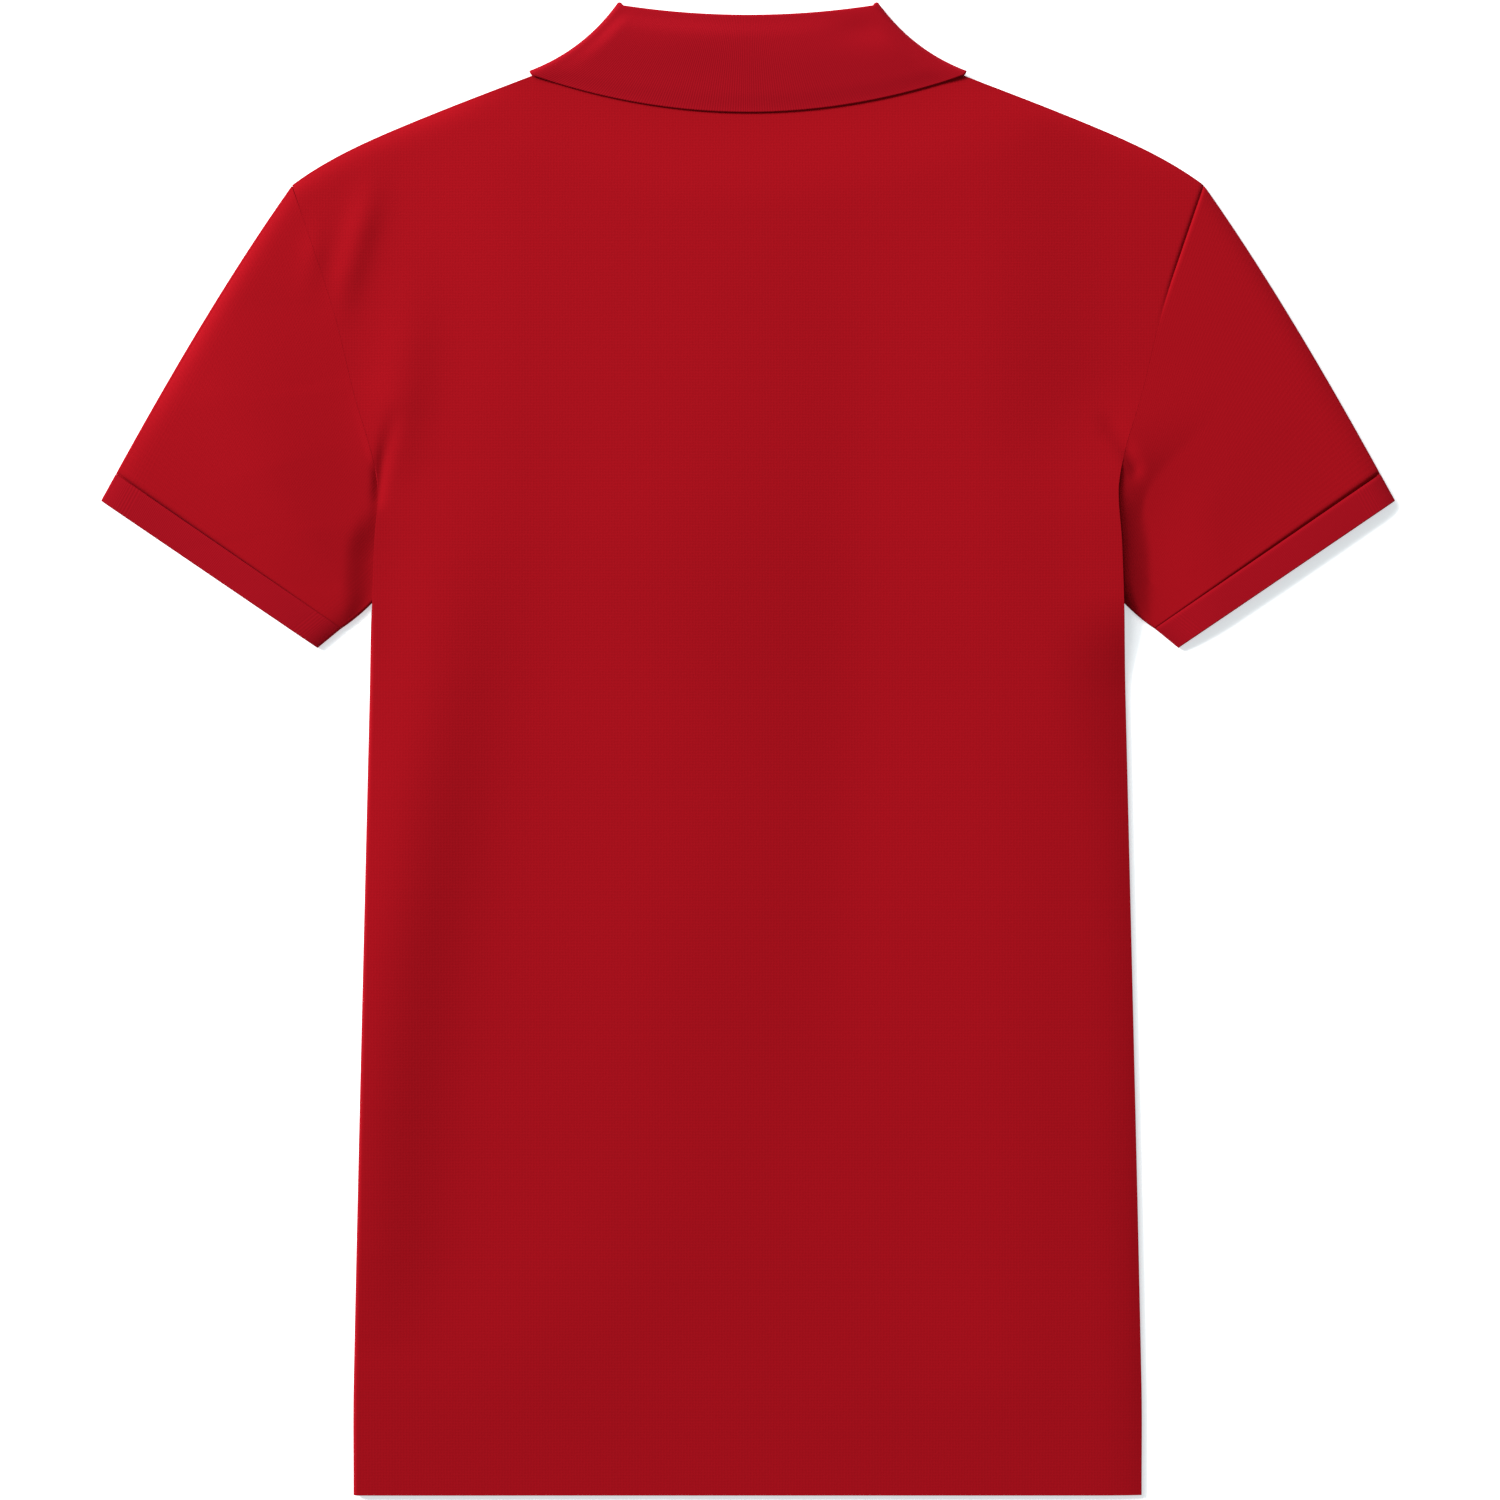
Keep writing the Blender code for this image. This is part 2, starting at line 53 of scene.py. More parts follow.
# Body: hem, shoulder points and the outer end of the shoulder
HEM_Y = -0.388
UNDERARM_Y = 0.070
NECK_X = 0.0942
NECK_Y = 0.3562
NECK_BACK_Y = 0.3505
NECK_FRONT_Y = 0.2830
TIP_X = 0.2366
TIP_Y = 0.2922
SHOULDER_SLOPE = 0.385
SHOULDER_ROUND = 0.0088
BODY_SIDE = (
    # height, half_width
    (-0.388, 0.2044),
    (-0.330, 0.2043),
    (0.070, 0.1950),
)
ARMHOLE = (
    # height, half_width
    (0.0700, 0.1950),
    (0.1050, 0.1938),
    (0.1400, 0.1925),
    (0.1860, 0.2049),
    (0.2280, 0.2153),
    (0.2922, 0.2366),
)

# Sleeve: its end at the body runs down the armhole, then tucks in under the edge of the back
CREASE_Y = 0.140
TUCK_Y = 0.096
TUCK_DEPTH = 0.0145
TIP_NOTCH = 0.0002
TIP_NOTCH_RUN = 0.015
SLEEVE_BEND = (0.2779, 0.2344)
UNDER_BEND = (0.1950, 0.0725)
CUFF_SEAM = ((0.2113, 0.0621), (0.3285, 0.1425))
CUFF_EDGE = ((0.2236, 0.0520), (0.3362, 0.1285))

# Collar: corners of its outline at the side of the neck, and its ends at the front opening
ROLL_SIDE = (0.0665, 0.3880)
LEAF_SIDE = (0.1140, 0.3516)
SIDE_HOLLOW = 0.0044
STAND_SHARE = 0.66
LEAF_BACK_Y = 0.3297
ROLL_BACK_Y = 0.3806
ROLL_END = (0.0050, 0.3010)
ROLL_BEND = (0.0500, 0.3180)
LEAF_END = (0.0520, 0.2400)
LEAF_BEND = (0.0980, 0.2720)
STAND_END = 0.985

# Placket and buttons
SLOT_HALF = 0.0153
SLOT_BOTTOM_Y = 0.1330
PLACKET_TOP_Y = NECK_FRONT_Y - 0.0006
UNDER_STRIP_HALF = 0.0190
UNDER_STRIP_BOTTOM_Y = 0.1290
BUTTON_YS = (0.2660, 0.2030)

# How the layers lie
NECK_LIFT = RIB + 2 * GAP
NECK_LIFT_RISE = (0.020, 0.120)
NECK_LIFT_SIDE = (0.118, 0.190)
FRONT_LEVEL = PIQUE / 2
NECK_LEVEL = FRONT_LEVEL + NECK_LIFT + LAYER / 2
COLLAR_TURN = NECK_LEVEL - RIB - GAP / 2
ROLL_TURN = (RIB + GAP) / 2
LEAF_CLEAR = 0.050

# Loft: the room between the upper and the lower layer, and how it closes at the edges
LOFT = 0.0022
HEM_SETTLE = 0.060
HEM_LOFT = 0.70
CUFF_SETTLE = (0.6, 1.0)
CUFF_LOFT_LEFT = 0.60
CUFF_LOFT_RIGHT = 0.72
RIM_LEFT = 0.0017
RIM_RIGHT = 0.030
RIM_WIDENS = 0.9
RIM_SLEEVE = 0.014
SHOULDER_COSINE = 0.93
LEAST_ROOM = 0.7

# Lift at the armholes, where the back hangs over the sleeves' ends
RAISE_LEFT = 0.0008
RAISE_RIGHT = 0.0051
RAISE_IN = 0.046
RAISE_START = (-0.055, 0.090)
RAISE_END = (0.112, 0.198)
SIDE_OPENS = (0.026, 0.080)

# Grooves in the sleeves beside the back's edges
GROOVE_NARROWS = (0.100, CREASE_Y)
GROOVE_FADE = 0.010
GROOVE_LEFT = 0.016
GROOVE_LEFT_TOP = 0.20
GROOVE_LEFT_END = (0.098, 0.128)
GROOVE_RIGHT = 0.0145
GROOVE_RIGHT_TOP = 0.70
GROOVE_RIGHT_SPREAD = 0.032
GROOVE_RIGHT_SPREADS = (0.116, 0.184)
GROOVE_RIGHT_END = (0.110, 0.150)
GROOVE_RISE = 0.038
GROOVE_FLOOR = 0.0004
GROOVE_CURVE = 1.25
SEWN_RUN = 0.004

# Seams
JOIN = 0.00006
SEAM_WIDTH = 0.0008
ARMHOLE_RIGHT = 0.0011
ARMHOLE_SHOWS = (0.215, 0.262)
CUFF_SEAM_DEPTH = 0.0027
CUFF_SEAM_WIDTH = 0.0011
CUFF_SIDE_DEPTH = 0.15 * CUFF_SEAM_DEPTH
SLEEVE_LENGTH = 0.19
CUFF_WIDTH = 0.0159

# Grids
GRID = 0.0032
EDGE_STEPS = (0.0, 0.00015, 0.0004, 0.0007, 0.0012, 0.0018, 0.0026, 0.0036, 0.0050, 0.0070, 0.0100, 0.0130)
SEAM_STEPS = EDGE_STEPS[:9]
EDGE_SOFT = 0.0005
SHARP_FROM = 55
NECK_STEPS = 12
EDGE_RUN = 0.0017
RING_TURN = (-70, -45, -20, 0, 20, 45, 70)
RING_HIGH = (0.0, 0.0006, 0.0014, 0.0024, 0.0036, 0.0052, 0.0075, 0.0110, 0.0150)
RING_LOW_STEP = 0.05
RING_MIDDLE_STEP = 0.021
RING_INSET = 0.02
SLEEVE_ROW = 0.018
CUFF_ROWS = (0.0, 0.009, 0.025, 0.045, 0.08, 0.13, 0.22, 0.35, 0.5, 0.65, 0.8, 0.9, 0.96, 1.0)

# Collar's form
COLLAR_LENGTH = 0.43
COLLAR_DEPTH = 0.09
COLLAR_WALL = 0.00115
COLLAR_FRONT_RUN = (0.03, 1.0)
COLLAR_FRONT_STEP = 0.035
COLLAR_BACK_RUN = (0.025, 0.975)
COLLAR_BACK_STEP = 0.03
COLLAR_TURN_STEP = 18
LEAF_STOPS = (0.0, 0.014, 0.03, 0.06, 1.0)
LEAF_STEP = 0.045
ROLL_STEP = 20
STAND_STEP = 0.09
COLLAR_PUFF = 0.0018
PUFF_RISE = (0.0, 0.8)
PUFF_FALL = (0.78, 1.0)
PUFF_FROM_SIDE = (0.0, 0.12)
COLLAR_DIP = 0.00076
DIP_RUN = (0.0, 0.22)
COLLAR_WAVES = (
    # name, x, y, wide, tall, share of the puff
    ("dimple right of the neck", 0.060, 0.3745, 0.019, 0.010, -1.05),
    ("low middle", 0.015, 0.372, 0.030, 0.012, -0.25),
    ("swell left of the neck", -0.035, 0.366, 0.034, 0.016, 0.45),
)

# Placket's strips and stitching
STRIP_ACROSS = 0.003
STRIP_ALONG = 0.004
STITCH = 0.0026
STITCH_SHARE = (0.12, 0.88)
THREAD_RADIUS = 0.00022
STITCH_INSET = 0.0022
STITCH_STOP = 0.001
BOX_HEIGHT = 0.020
BUTTONHOLE_HALF = 0.0062
BUTTONHOLE_ROUND = 0.0009
BUTTONHOLE_STITCHES = 26

# Buttons: the outline that is turned once round, then the holes and thread
BUTTON_PROFILE = (
    # distance from the middle, height
    (0.0, 0.00035),
    (0.0034, 0.00035),
    (0.0040, 0.0001),
    (0.0046, 0.0),
    (0.0052, 0.0002),
    (0.0055, 0.0007),
    (0.0055, 0.0011),
    (0.0052, 0.0016),
    (0.0046, 0.0018),
    (0.0, 0.0018),
)
BUTTON_SEGMENTS = 48
HOLE_RADIUS = 0.00075
HOLE_PLACE = 0.0013
HOLE_DEPTH = 0.006
HOLE_LEVEL = 0.001
HOLE_SEGMENTS = 16
BUTTON_THREAD = 0.00018
BUTTON_THREAD_SHIFT = 0.0002
BUTTON_THREAD_LEVEL = 0.0002

# Cloth and button colours and patterns
PIQUE_RED = (0.278, 0.0022, 0.0066)
KNIT_RED = (0.262, 0.0022, 0.0076)
BUTTON_RED = (0.25, 0.004, 0.008)
SHEEN_TINT = (1.0, 0.03, 0.10, 1)
SHEEN = 0.20
PIQUE_CELL = 0.0015
PIQUE_UNEVEN = 0.18
PIQUE_RELIEF = 0.35
RIB_PITCH = 0.0012
RIB_RELIEF = 0.30
KNIT_RELIEF = 0.00018
FUZZ_RELIEF = 0.00005
FUZZ_PER_METRE = 2600
CLOUDS_PER_METRE = 9
BUTTON_CLOUDS_PER_METRE = 260
# Painted shade: share of the dye in the pores and between the ribs (low) and on the yarn (high)
HOLLOW_PAINTED_SHADE = (0.90, 1.03)
CLOUD_SHADE = (0.96, 1.04)
FUZZ_SHADE = (0.94, 1.06)
BUTTON_SHADE = (0.8, 1.2)
BUTTON_ROUGHNESS = (0.22, 0.4)

# Floor, light and camera
FLOOR_SIZE = 6
FLOOR_DROP = 0.00002
FLOOR_WHITE = (0.90, 0.90, 0.90)
FLOOR_GLOW = (0.46, 0.51, 0.53)
KEY_FROM = (-3.4, 2.1, 2.4)
KEY_SPREAD = 17
KEY_STRENGTH = 4.5
FILL_PLACE = (-0.8, 1.5, 1.2)
FILL_SIZE = 1.2
FILL_POWER = 26
WORLD_STRENGTH = 0.30
LENS = 100.0
SENSOR = 36.0
FRAME_WIDTH = 0.78
FRAME_CENTRE = (0.00104, -0.00104)

FOLDS = (
    # name, spread, points of (x, y, height)
    ("left side roll", 0.03, (
        (-0.165, 0.145, 0.0003), (-0.157, 0.098, 0.0017), (-0.161, 0.035, 0.0032),
        (-0.173, -0.027, 0.0045), (-0.185, -0.105, 0.0052), (-0.193, -0.183, 0.0050),
        (-0.198, -0.261, 0.0036), (-0.198, -0.313, 0.0010))),
    ("armpit ridge", 0.015, (
        (-0.175, 0.249, 0.0004), (-0.177, 0.212, 0.0017), (-0.181, 0.181, 0.0023),
        (-0.185, 0.155, 0.0012), (-0.186, 0.134, 0.0002))),
    ("armpit crease", 0.0032, (
        (-0.192, 0.129, -0.0010), (-0.189, 0.150, -0.0016), (-0.185, 0.166, -0.0009),
        (-0.183, 0.178, 0.0000))),
    ("slanting rise near the hem", 0.042, (
        (-0.165, -0.355, 0.0006), (-0.124, -0.313, 0.0010), (-0.072, -0.266, 0.0008),
        (-0.035, -0.230, 0.0002))),
    ("left middle ridge", 0.055, (
        (-0.030, 0.269, 0.0006), (-0.030, 0.129, 0.0020), (-0.035, -0.079, 0.0020),
        (-0.046, -0.261, 0.0009))),
    ("middle trough", 0.03, (
        (0.054, 0.285, -0.0003), (0.054, 0.098, -0.0011), (0.049, -0.079, -0.0011),
        (0.043, -0.209, -0.0002))),
    ("right ridge", 0.036, (
        (0.131, 0.275, 0.0004), (0.131, 0.181, 0.0013), (0.136, -0.027, 0.0014),
        (0.136, -0.183, 0.0012), (0.136, -0.318, 0.0010))),
    ("left shoulder ridge", 0.0070, (
        (-0.195, 0.293, 0.0005), (-0.200, 0.272, 0.0020), (-0.207, 0.246, 0.0017),
        (-0.210, 0.227, 0.0003))),
    ("left shoulder streak", 0.0065, (
        (-0.222, 0.274, 0.0002), (-0.225, 0.256, 0.0009), (-0.229, 0.238, 0.0002))),
    ("left sleeve swell", 0.042, (
        (-0.262, 0.228, 0.0018), (-0.262, 0.181, 0.0038), (-0.250, 0.145, 0.0042),
        (-0.240, 0.113, 0.0034), (-0.240, 0.085, 0.0022))),
    ("left underarm ridge", 0.03, (
        (-0.253, 0.129, 0.0002), (-0.253, 0.098, 0.0006), (-0.251, 0.067, 0.0010))),
    ("right crease above the underarm", 0.0036, (
        (0.184, 0.174, -0.0001), (0.188, 0.165, -0.0012), (0.196, 0.155, -0.0018),
        (0.201, 0.145, -0.0016))),
    ("right sleeve swell", 0.04, (
        (0.253, 0.056, 0.0016), (0.282, 0.072, 0.0020), (0.323, 0.108, 0.0014))),
)


def clamp(value):
    return min(1.0, max(0.0, value))


def smooth(start, end, value):
    t = clamp((value - start) / (end - start))
    return t * t * (3 - 2 * t)


def mix(a, b, t):
    return a + (b - a) * t


def mix2(a, b, t):
    return Vector((mix(a[0], b[0], t), mix(a[1], b[1], t)))


def bend(start, middle, end, t):
    """Point at t on the quadratic curve from start to end that is drawn towards middle."""
    return mix2(mix2(start, middle, t), mix2(middle, end, t), t)


def along(rows, height):
    """Value at a height on the smooth curve through rows of (height, value)."""
    last = len(rows) - 1
    k = max(i for i in range(last) if i == 0 or rows[i][0] <= height)
    slopes = []
    for i in (k, k + 1):
        low, high = rows[max(0, i - 1)], rows[min(last, i + 1)]
        slopes.append((high[1] - low[1]) / (high[0] - low[0]))
    span = rows[k + 1][0] - rows[k][0]
    t = (height - rows[k][0]) / span
    return (rows[k][1] * (1 + 2 * t) * (1 - t) ** 2 + rows[k + 1][1] * t * t * (3 - 2 * t)
            + slopes[0] * span * t * (1 - t) ** 2 - slopes[1] * span * t * t * (1 - t))


# Outline

def half_width(y):
    return along(BODY_SIDE, y) if y < UNDERARM_Y else along(ARMHOLE, y)


def shoulder_y(x):
    s = abs(x) - NECK_X
    return NECK_Y - SEAM - SHOULDER_SLOPE * s - SHOULDER_ROUND * (s / (TIP_X - NECK_X)) ** 6


def back_neck_y(x):
    return mix(NECK_BACK_Y, NECK_Y, (x / NECK_X) ** 2) - SEAM


def front_neck_y(x):
    across = clamp(abs(x) / NECK_X)
    return NECK_Y - SEAM - (NECK_Y - NECK_FRONT_Y) * math.sqrt(1 - across * across)


def sleeve_end_x(y):
    """Where the sleeve's end lies: along the armhole, and under the back below the crease."""
    if y >= CREASE_Y:
        return half_width(y) + JOIN + TIP_NOTCH * smooth(TIP_Y - TIP_NOTCH_RUN, TIP_Y, y)
    tucked = (CREASE_Y - y) / (CREASE_Y - TUCK_Y)
    return half_width(CREASE_Y) + JOIN - TUCK_DEPTH * tucked


def front_side_x(y):
    """Side of the front: it meets the sleeve's end, then runs out below it to the side seam."""
    if y < UNDERARM_Y:
        return half_width(y)
    if y >= TUCK_Y:
        return sleeve_end_x(y) - 3.0 * JOIN
    inner = sleeve_end_x(TUCK_Y) - 3.0 * JOIN
    return mix(half_width(UNDERARM_Y), inner, (y - UNDERARM_Y) / (TUCK_Y - UNDERARM_Y))


# Heights of the layers

def front_z(x, y):
    """Middle of the front's wall: on the surface, and lifted over the collar and buttons near the neck."""
    lift = smooth(*NECK_LIFT_RISE, y) * (1 - smooth(*NECK_LIFT_SIDE, abs(x)))
    return FRONT_LEVEL + NECK_LIFT * lift


def leaf_edge_y(x):
    return mix(LEAF_BACK_Y, LEAF_SIDE[1], (x / LEAF_SIDE[0]) ** 2)


def clear_of_leaf(x, y):
    """0 under the collar's leaf, where the layers lie tight, and 1 well below it."""
    beside = max(0.0, abs(x) - LEAF_SIDE[0])
    below = max(0.0, leaf_edge_y(min(abs(x), LEAF_SIDE[0])) - y)
    return smooth(0.0, LEAF_CLEAR, math.hypot(beside, below))


def fold_height(x, y):
    """Sum of the folds: each follows a line of points, whose heights it takes over in between."""
    total = 0.0
    for name, spread, points in FOLDS:
        nearest = 4 * spread
        height = 0.0
        for (x0, y0, h0), (x1, y1, h1) in zip(points, points[1:]):
            run_x, run_y = x1 - x0, y1 - y0
            t = clamp(((x - x0) * run_x + (y - y0) * run_y) / (run_x ** 2 + run_y ** 2))
            off = math.hypot(x - x0 - run_x * t, y - y0 - run_y * t)
            if off < nearest:
                nearest = off
                height = mix(h0, h1, t)
        total += height * math.exp(-(nearest / spread) ** 2)
    return total


def loft(x, y):
    """How far the upper layer stands above where it would touch the lower one."""
    settle = mix(HEM_LOFT, 1.0, smooth(0, HEM_SETTLE, y - HEM_Y))
    return max(0.0, LOFT + fold_height(x, y)) * clear_of_leaf(x, y) * settle


def rim(distance, width):
    """Share of the loft at a distance in from a folded or sewn edge."""
    return 1 - (1 - clamp(distance / width)) ** 3


def seam_raise(x, y):
    """How far the cloth is lifted at the armhole, where the back hangs over the sleeve's end."""
    height = RAISE_RIGHT if x > 0 else RAISE_LEFT
    return height * smooth(*RAISE_START, y) * (1 - smooth(*RAISE_END, y))


def back_z(x, y):
    """Middle of the back's wall: rounded down to the front at its edges, and over the sleeve's end."""
    across = abs(x)
    from_side = half_width(y) - across
    top = rim(SHOULDER_COSINE * (shoulder_y(across) - y), RIM_SLEEVE) if across > NECK_X else 1.0
    raised = seam_raise(x, y) * math.exp(-(from_side / RAISE_IN) ** 2)
    width = RIM_RIGHT * (1 + RIM_WIDENS * raised / LOFT) if x > 0 else RIM_LEFT
    side = mix(rim(from_side, width), 1.0, smooth(*SIDE_OPENS, y))
    return front_z(x, y) + LAYER + (loft(x, y) + raised) * top * side


def sleeve_loft(x, y):
    """Loft of the sleeve's upper layer: it lies close under the back's edge and forms a groove beside it."""
    out = abs(x) - half_width(max(y, UNDERARM_Y))
    free = loft(x, y)
    edge = free + seam_raise(x, y)
    below = 1 - smooth(CREASE_Y, CREASE_Y + GROOVE_FADE, y)
    under = mix(edge, max(0.0, edge - LAYER), below)
    narrow = smooth(*GROOVE_NARROWS, y)
    if x < 0:
        deep = below * (1 - smooth(*GROOVE_LEFT_END, y))
        closed = mix(under, free, smooth(0.0, SEWN_RUN, out))
        groove = free * smooth(0.0, GROOVE_LEFT * mix(1.0, GROOVE_LEFT_TOP, narrow), out)
        return mix(closed, groove, deep)
    spread = GROOVE_RIGHT_SPREAD * smooth(*GROOVE_RIGHT_SPREADS, y)
    run = GROOVE_RIGHT * mix(1.0, GROOVE_RIGHT_TOP, narrow) + spread
    floor = mix(GROOVE_FLOOR, free, smooth(*GROOVE_RIGHT_END, y))
    fallen = mix(under, floor, 1 - (1 - clamp(out / run)) ** GROOVE_CURVE)
    return mix(fallen, free, smooth(run, run + GROOVE_RISE, out))


# Materials

def node(tree, kind, **settings):
    made = tree.nodes.new(kind)
    for name, value in settings.items():
        setattr(made, name, value)
    return made


def ramp_between(tree, source, low, high):
    """Value that runs from low to high as source runs from 0 to 1."""
    spread = node(tree, "ShaderNodeMapRange")
    spread.inputs["To Min"].default_value = low
    spread.inputs["To Max"].default_value = high
    tree.links.new(source, spread.inputs["Value"])
    return spread.outputs["Result"]


def times(tree, a, b):
    product = node(tree, "ShaderNodeMath", operation="MULTIPLY")
    tree.links.new(a, product.inputs[0])
    tree.links.new(b, product.inputs[1])
    return product.outputs["Value"]


def cloth_material(name, colour, pattern, relief):
    """Knitted cotton: pattern(tree, place) gives its relief from 0, pores, to 1, yarn."""
    material = bpy.data.materials.new(name)
    material.use_nodes = True
    tree = material.node_tree
    shader = tree.nodes["Principled BSDF"]
    shader.inputs["Roughness"].default_value = 0.92
    shader.inputs["Specular IOR Level"].default_value = 0.06
    shader.inputs["Sheen Weight"].default_value = SHEEN
    shader.inputs["Sheen Roughness"].default_value = 0.45
    shader.inputs["Sheen Tint"].default_value = SHEEN_TINT
    place = node(tree, "ShaderNodeUVMap", uv_map="cloth").outputs["UV"]
    yarn = pattern(tree, place)
    fuzz = node(tree, "ShaderNodeTexNoise")
    fuzz.inputs["Scale"].default_value = FUZZ_PER_METRE
    fuzz.inputs["Detail"].default_value = 2.0
    tree.links.new(place, fuzz.inputs["Vector"])
    cloud = node(tree, "ShaderNodeTexNoise")
    cloud.inputs["Scale"].default_value = CLOUDS_PER_METRE
    cloud.inputs["Detail"].default_value = 3.0
    tree.links.new(place, cloud.inputs["Vector"])
    # Painted shade: the dye is darkened where the relief is low, in the pores and between the ribs
    hollow_painted_shade = ramp_between(tree, yarn, *HOLLOW_PAINTED_SHADE)
    cloud_shade = ramp_between(tree, cloud.outputs["Fac"], *CLOUD_SHADE)
    fuzz_shade = ramp_between(tree, fuzz.outputs["Fac"], *FUZZ_SHADE)
    dyed = node(tree, "ShaderNodeVectorMath", operation="SCALE")
    dyed.inputs[0].default_value = colour
    tree.links.new(times(tree, times(tree, hollow_painted_shade, cloud_shade), fuzz_shade), dyed.inputs["Scale"])
    tree.links.new(dyed.outputs["Vector"], shader.inputs["Base Color"])
    coarse = node(tree, "ShaderNodeBump")
    coarse.inputs["Strength"].default_value = relief
    coarse.inputs["Distance"].default_value = KNIT_RELIEF
    tree.links.new(yarn, coarse.inputs["Height"])
    fine = node(tree, "ShaderNodeBump")
    fine.inputs["Strength"].default_value = 0.25
    fine.inputs["Distance"].default_value = FUZZ_RELIEF
    tree.links.new(fuzz.outputs["Fac"], fine.inputs["Height"])
    tree.links.new(coarse.outputs["Normal"], fine.inputs["Normal"])
    tree.links.new(fine.outputs["Normal"], shader.inputs["Normal"])
    return material


def pique_pattern(tree, place):
    """Small round dimples in rows, each about as wide as two stitches."""
    cells = node(tree, "ShaderNodeTexVoronoi", feature="F1")
    cells.inputs["Scale"].default_value = 1 / PIQUE_CELL
    cells.inputs["Randomness"].default_value = PIQUE_UNEVEN
    tree.links.new(place, cells.inputs["Vector"])
    return cells.outputs["Distance"]


def rib_pattern(tree, place):
    """Fine ribs across the knitted strip. The wave node repeats 20 / (2 pi) times a unit of scale."""
    ribs = node(tree, "ShaderNodeTexWave", wave_type="BANDS", bands_direction="X")
    ribs.inputs["Scale"].default_value = 2 * math.pi / 20 / RIB_PITCH
    tree.links.new(place, ribs.inputs["Vector"])
    return ribs.outputs["Fac"]


def button_material():
    """Polished plastic with faint clouding and worn, slightly duller patches."""
    material = bpy.data.materials.new("button_plastic")
    material.use_nodes = True
    tree = material.node_tree
    shader = tree.nodes["Principled BSDF"]
    place = node(tree, "ShaderNodeTexCoord").outputs["Object"]
    cloud = node(tree, "ShaderNodeTexNoise")
    cloud.inputs["Scale"].default_value = BUTTON_CLOUDS_PER_METRE
    tree.links.new(place, cloud.inputs["Vector"])
    dyed = node(tree, "ShaderNodeVectorMath", operation="SCALE")
    dyed.inputs[0].default_value = BUTTON_RED
    tree.links.new(ramp_between(tree, cloud.outputs["Fac"], *BUTTON_SHADE), dyed.inputs["Scale"])
    tree.links.new(dyed.outputs["Vector"], shader.inputs["Base Color"])
    tree.links.new(ramp_between(tree, cloud.outputs["Fac"], *BUTTON_ROUGHNESS), shader.inputs["Roughness"])
    return material


# Sheets

def add_object(name, mesh):
    """Object with this mesh, in the scene."""
    piece = bpy.data.objects.new(name, mesh)
    bpy.context.scene.collection.objects.link(piece)
    return piece


def thicken(bm, layer, thickness, rounded):
    """Turns the sheet in bm into a closed wall, and rounds its border between the points in rounded."""
    bm.normal_update()
    faces = list(bm.faces)
    borders = [edge.link_loops[0] for edge in bm.edges if edge.is_boundary]
    outer = {}
    inner = {}
    for vert in list(bm.verts):
        outer[vert] = bm.verts.new(vert.co + vert.normal * thickness / 2)
        inner[vert] = bm.verts.new(vert.co - vert.normal * thickness / 2)

    def add_face(corners):
        made = bm.faces.new([vert for vert, place in corners])
        for loop, (vert, place) in zip(made.loops, corners):
            loop[layer].uv = place

    for face in faces:
        corners = [(loop.vert, loop[layer].uv.copy()) for loop in face.loops]
        add_face([(outer[vert], place) for vert, place in corners])
        add_face([(inner[vert], place) for vert, place in reversed(corners)])
    to_round = []
    for loop in borders:
        after = loop.link_loop_next
        start, end = loop.vert, after.vert
        near, far = loop[layer].uv.copy(), after[layer].uv.copy()
        add_face([(outer[end], far), (outer[start], near), (inner[start], near), (inner[end], far)])
        if start in rounded and end in rounded:
            to_round.append(bm.edges.get((outer[start], outer[end])))
            to_round.append(bm.edges.get((inner[start], inner[end])))
    bmesh.ops.delete(bm, geom=list(outer), context="VERTS")
    bmesh.ops.bevel(bm, geom=to_round, offset=EDGE_SOFT, offset_type="OFFSET", segments=2, profile=0.5,
                    affect="EDGES", clamp_overlap=True)
    bmesh.ops.recalc_face_normals(bm, faces=bm.faces)


def sheet(name, columns, rows, place, uv, thickness, material, keep=None, ring=False, soft=None):
    """Piece of cloth: a fine grid whose points place(column, row) sets.

    keep says which of its faces stay, ring joins its first and last column, and soft says where its border
    is rounded.
    """
    bm = bmesh.new()
    bmesh.ops.create_grid(bm, x_segments=len(columns) - 1, y_segments=len(rows) - 1, size=1)
    cells = {}
    for vert in bm.verts:
        i = round((vert.co.x + 1) / 2 * (len(columns) - 1))
        j = round((vert.co.y + 1) / 2 * (len(rows) - 1))
        cells[vert] = (columns[i], rows[j])
    if keep:
        dropped = []
        for face in bm.faces:
            column = sum(cells[v][0] for v in face.verts) / 4
            row = sum(cells[v][1] for v in face.verts) / 4
            if not keep(column, row):
                dropped.append(face)
        bmesh.ops.delete(bm, geom=dropped, context="FACES")
    layer = bm.loops.layers.uv.new("cloth")
    for face in bm.faces:
        for loop in face.loops:
            loop[layer].uv = uv(*cells[loop.vert])
    for vert in bm.verts:
        vert.co = place(*cells[vert])
    if ring:
        bmesh.ops.remove_doubles(bm, verts=bm.verts, dist=1e-6)
    rounded = {vert for vert in bm.verts if soft is None or soft(*cells[vert])}
    thicken(bm, layer, thickness, rounded)
    mesh = bpy.data.meshes.new(name)
    bm.to_mesh(mesh)
    bm.free()
    mesh.shade_smooth()
    mesh.set_sharp_from_angle(angle=math.radians(SHARP_FROM))
    mesh.materials.append(material)
    return add_object(name, mesh)


def steps_between(start, end, size):
    """Even steps from start to end, each no longer than size, with both ends."""
    count = max(1, math.ceil((end - start) / size - 1e-6))
    return [mix(start, end, k / count) for k in range(count + 1)]


def through(stops, size):
    """Even steps that pass through every stop."""
    stops = sorted(set(stops))
    line = []
    for low, high in zip(stops, stops[1:]):
        line += steps_between(low, high, size)[:-1]
    return line + [stops[-1]]


def both_ways(steps):
    return [-s for s in reversed(steps) if s > 0] + list(steps)


def edge_stops(edge, inward):
    return [edge + inward * step for step in EDGE_STEPS]


# Seams, pressed a little into the cloth beside them

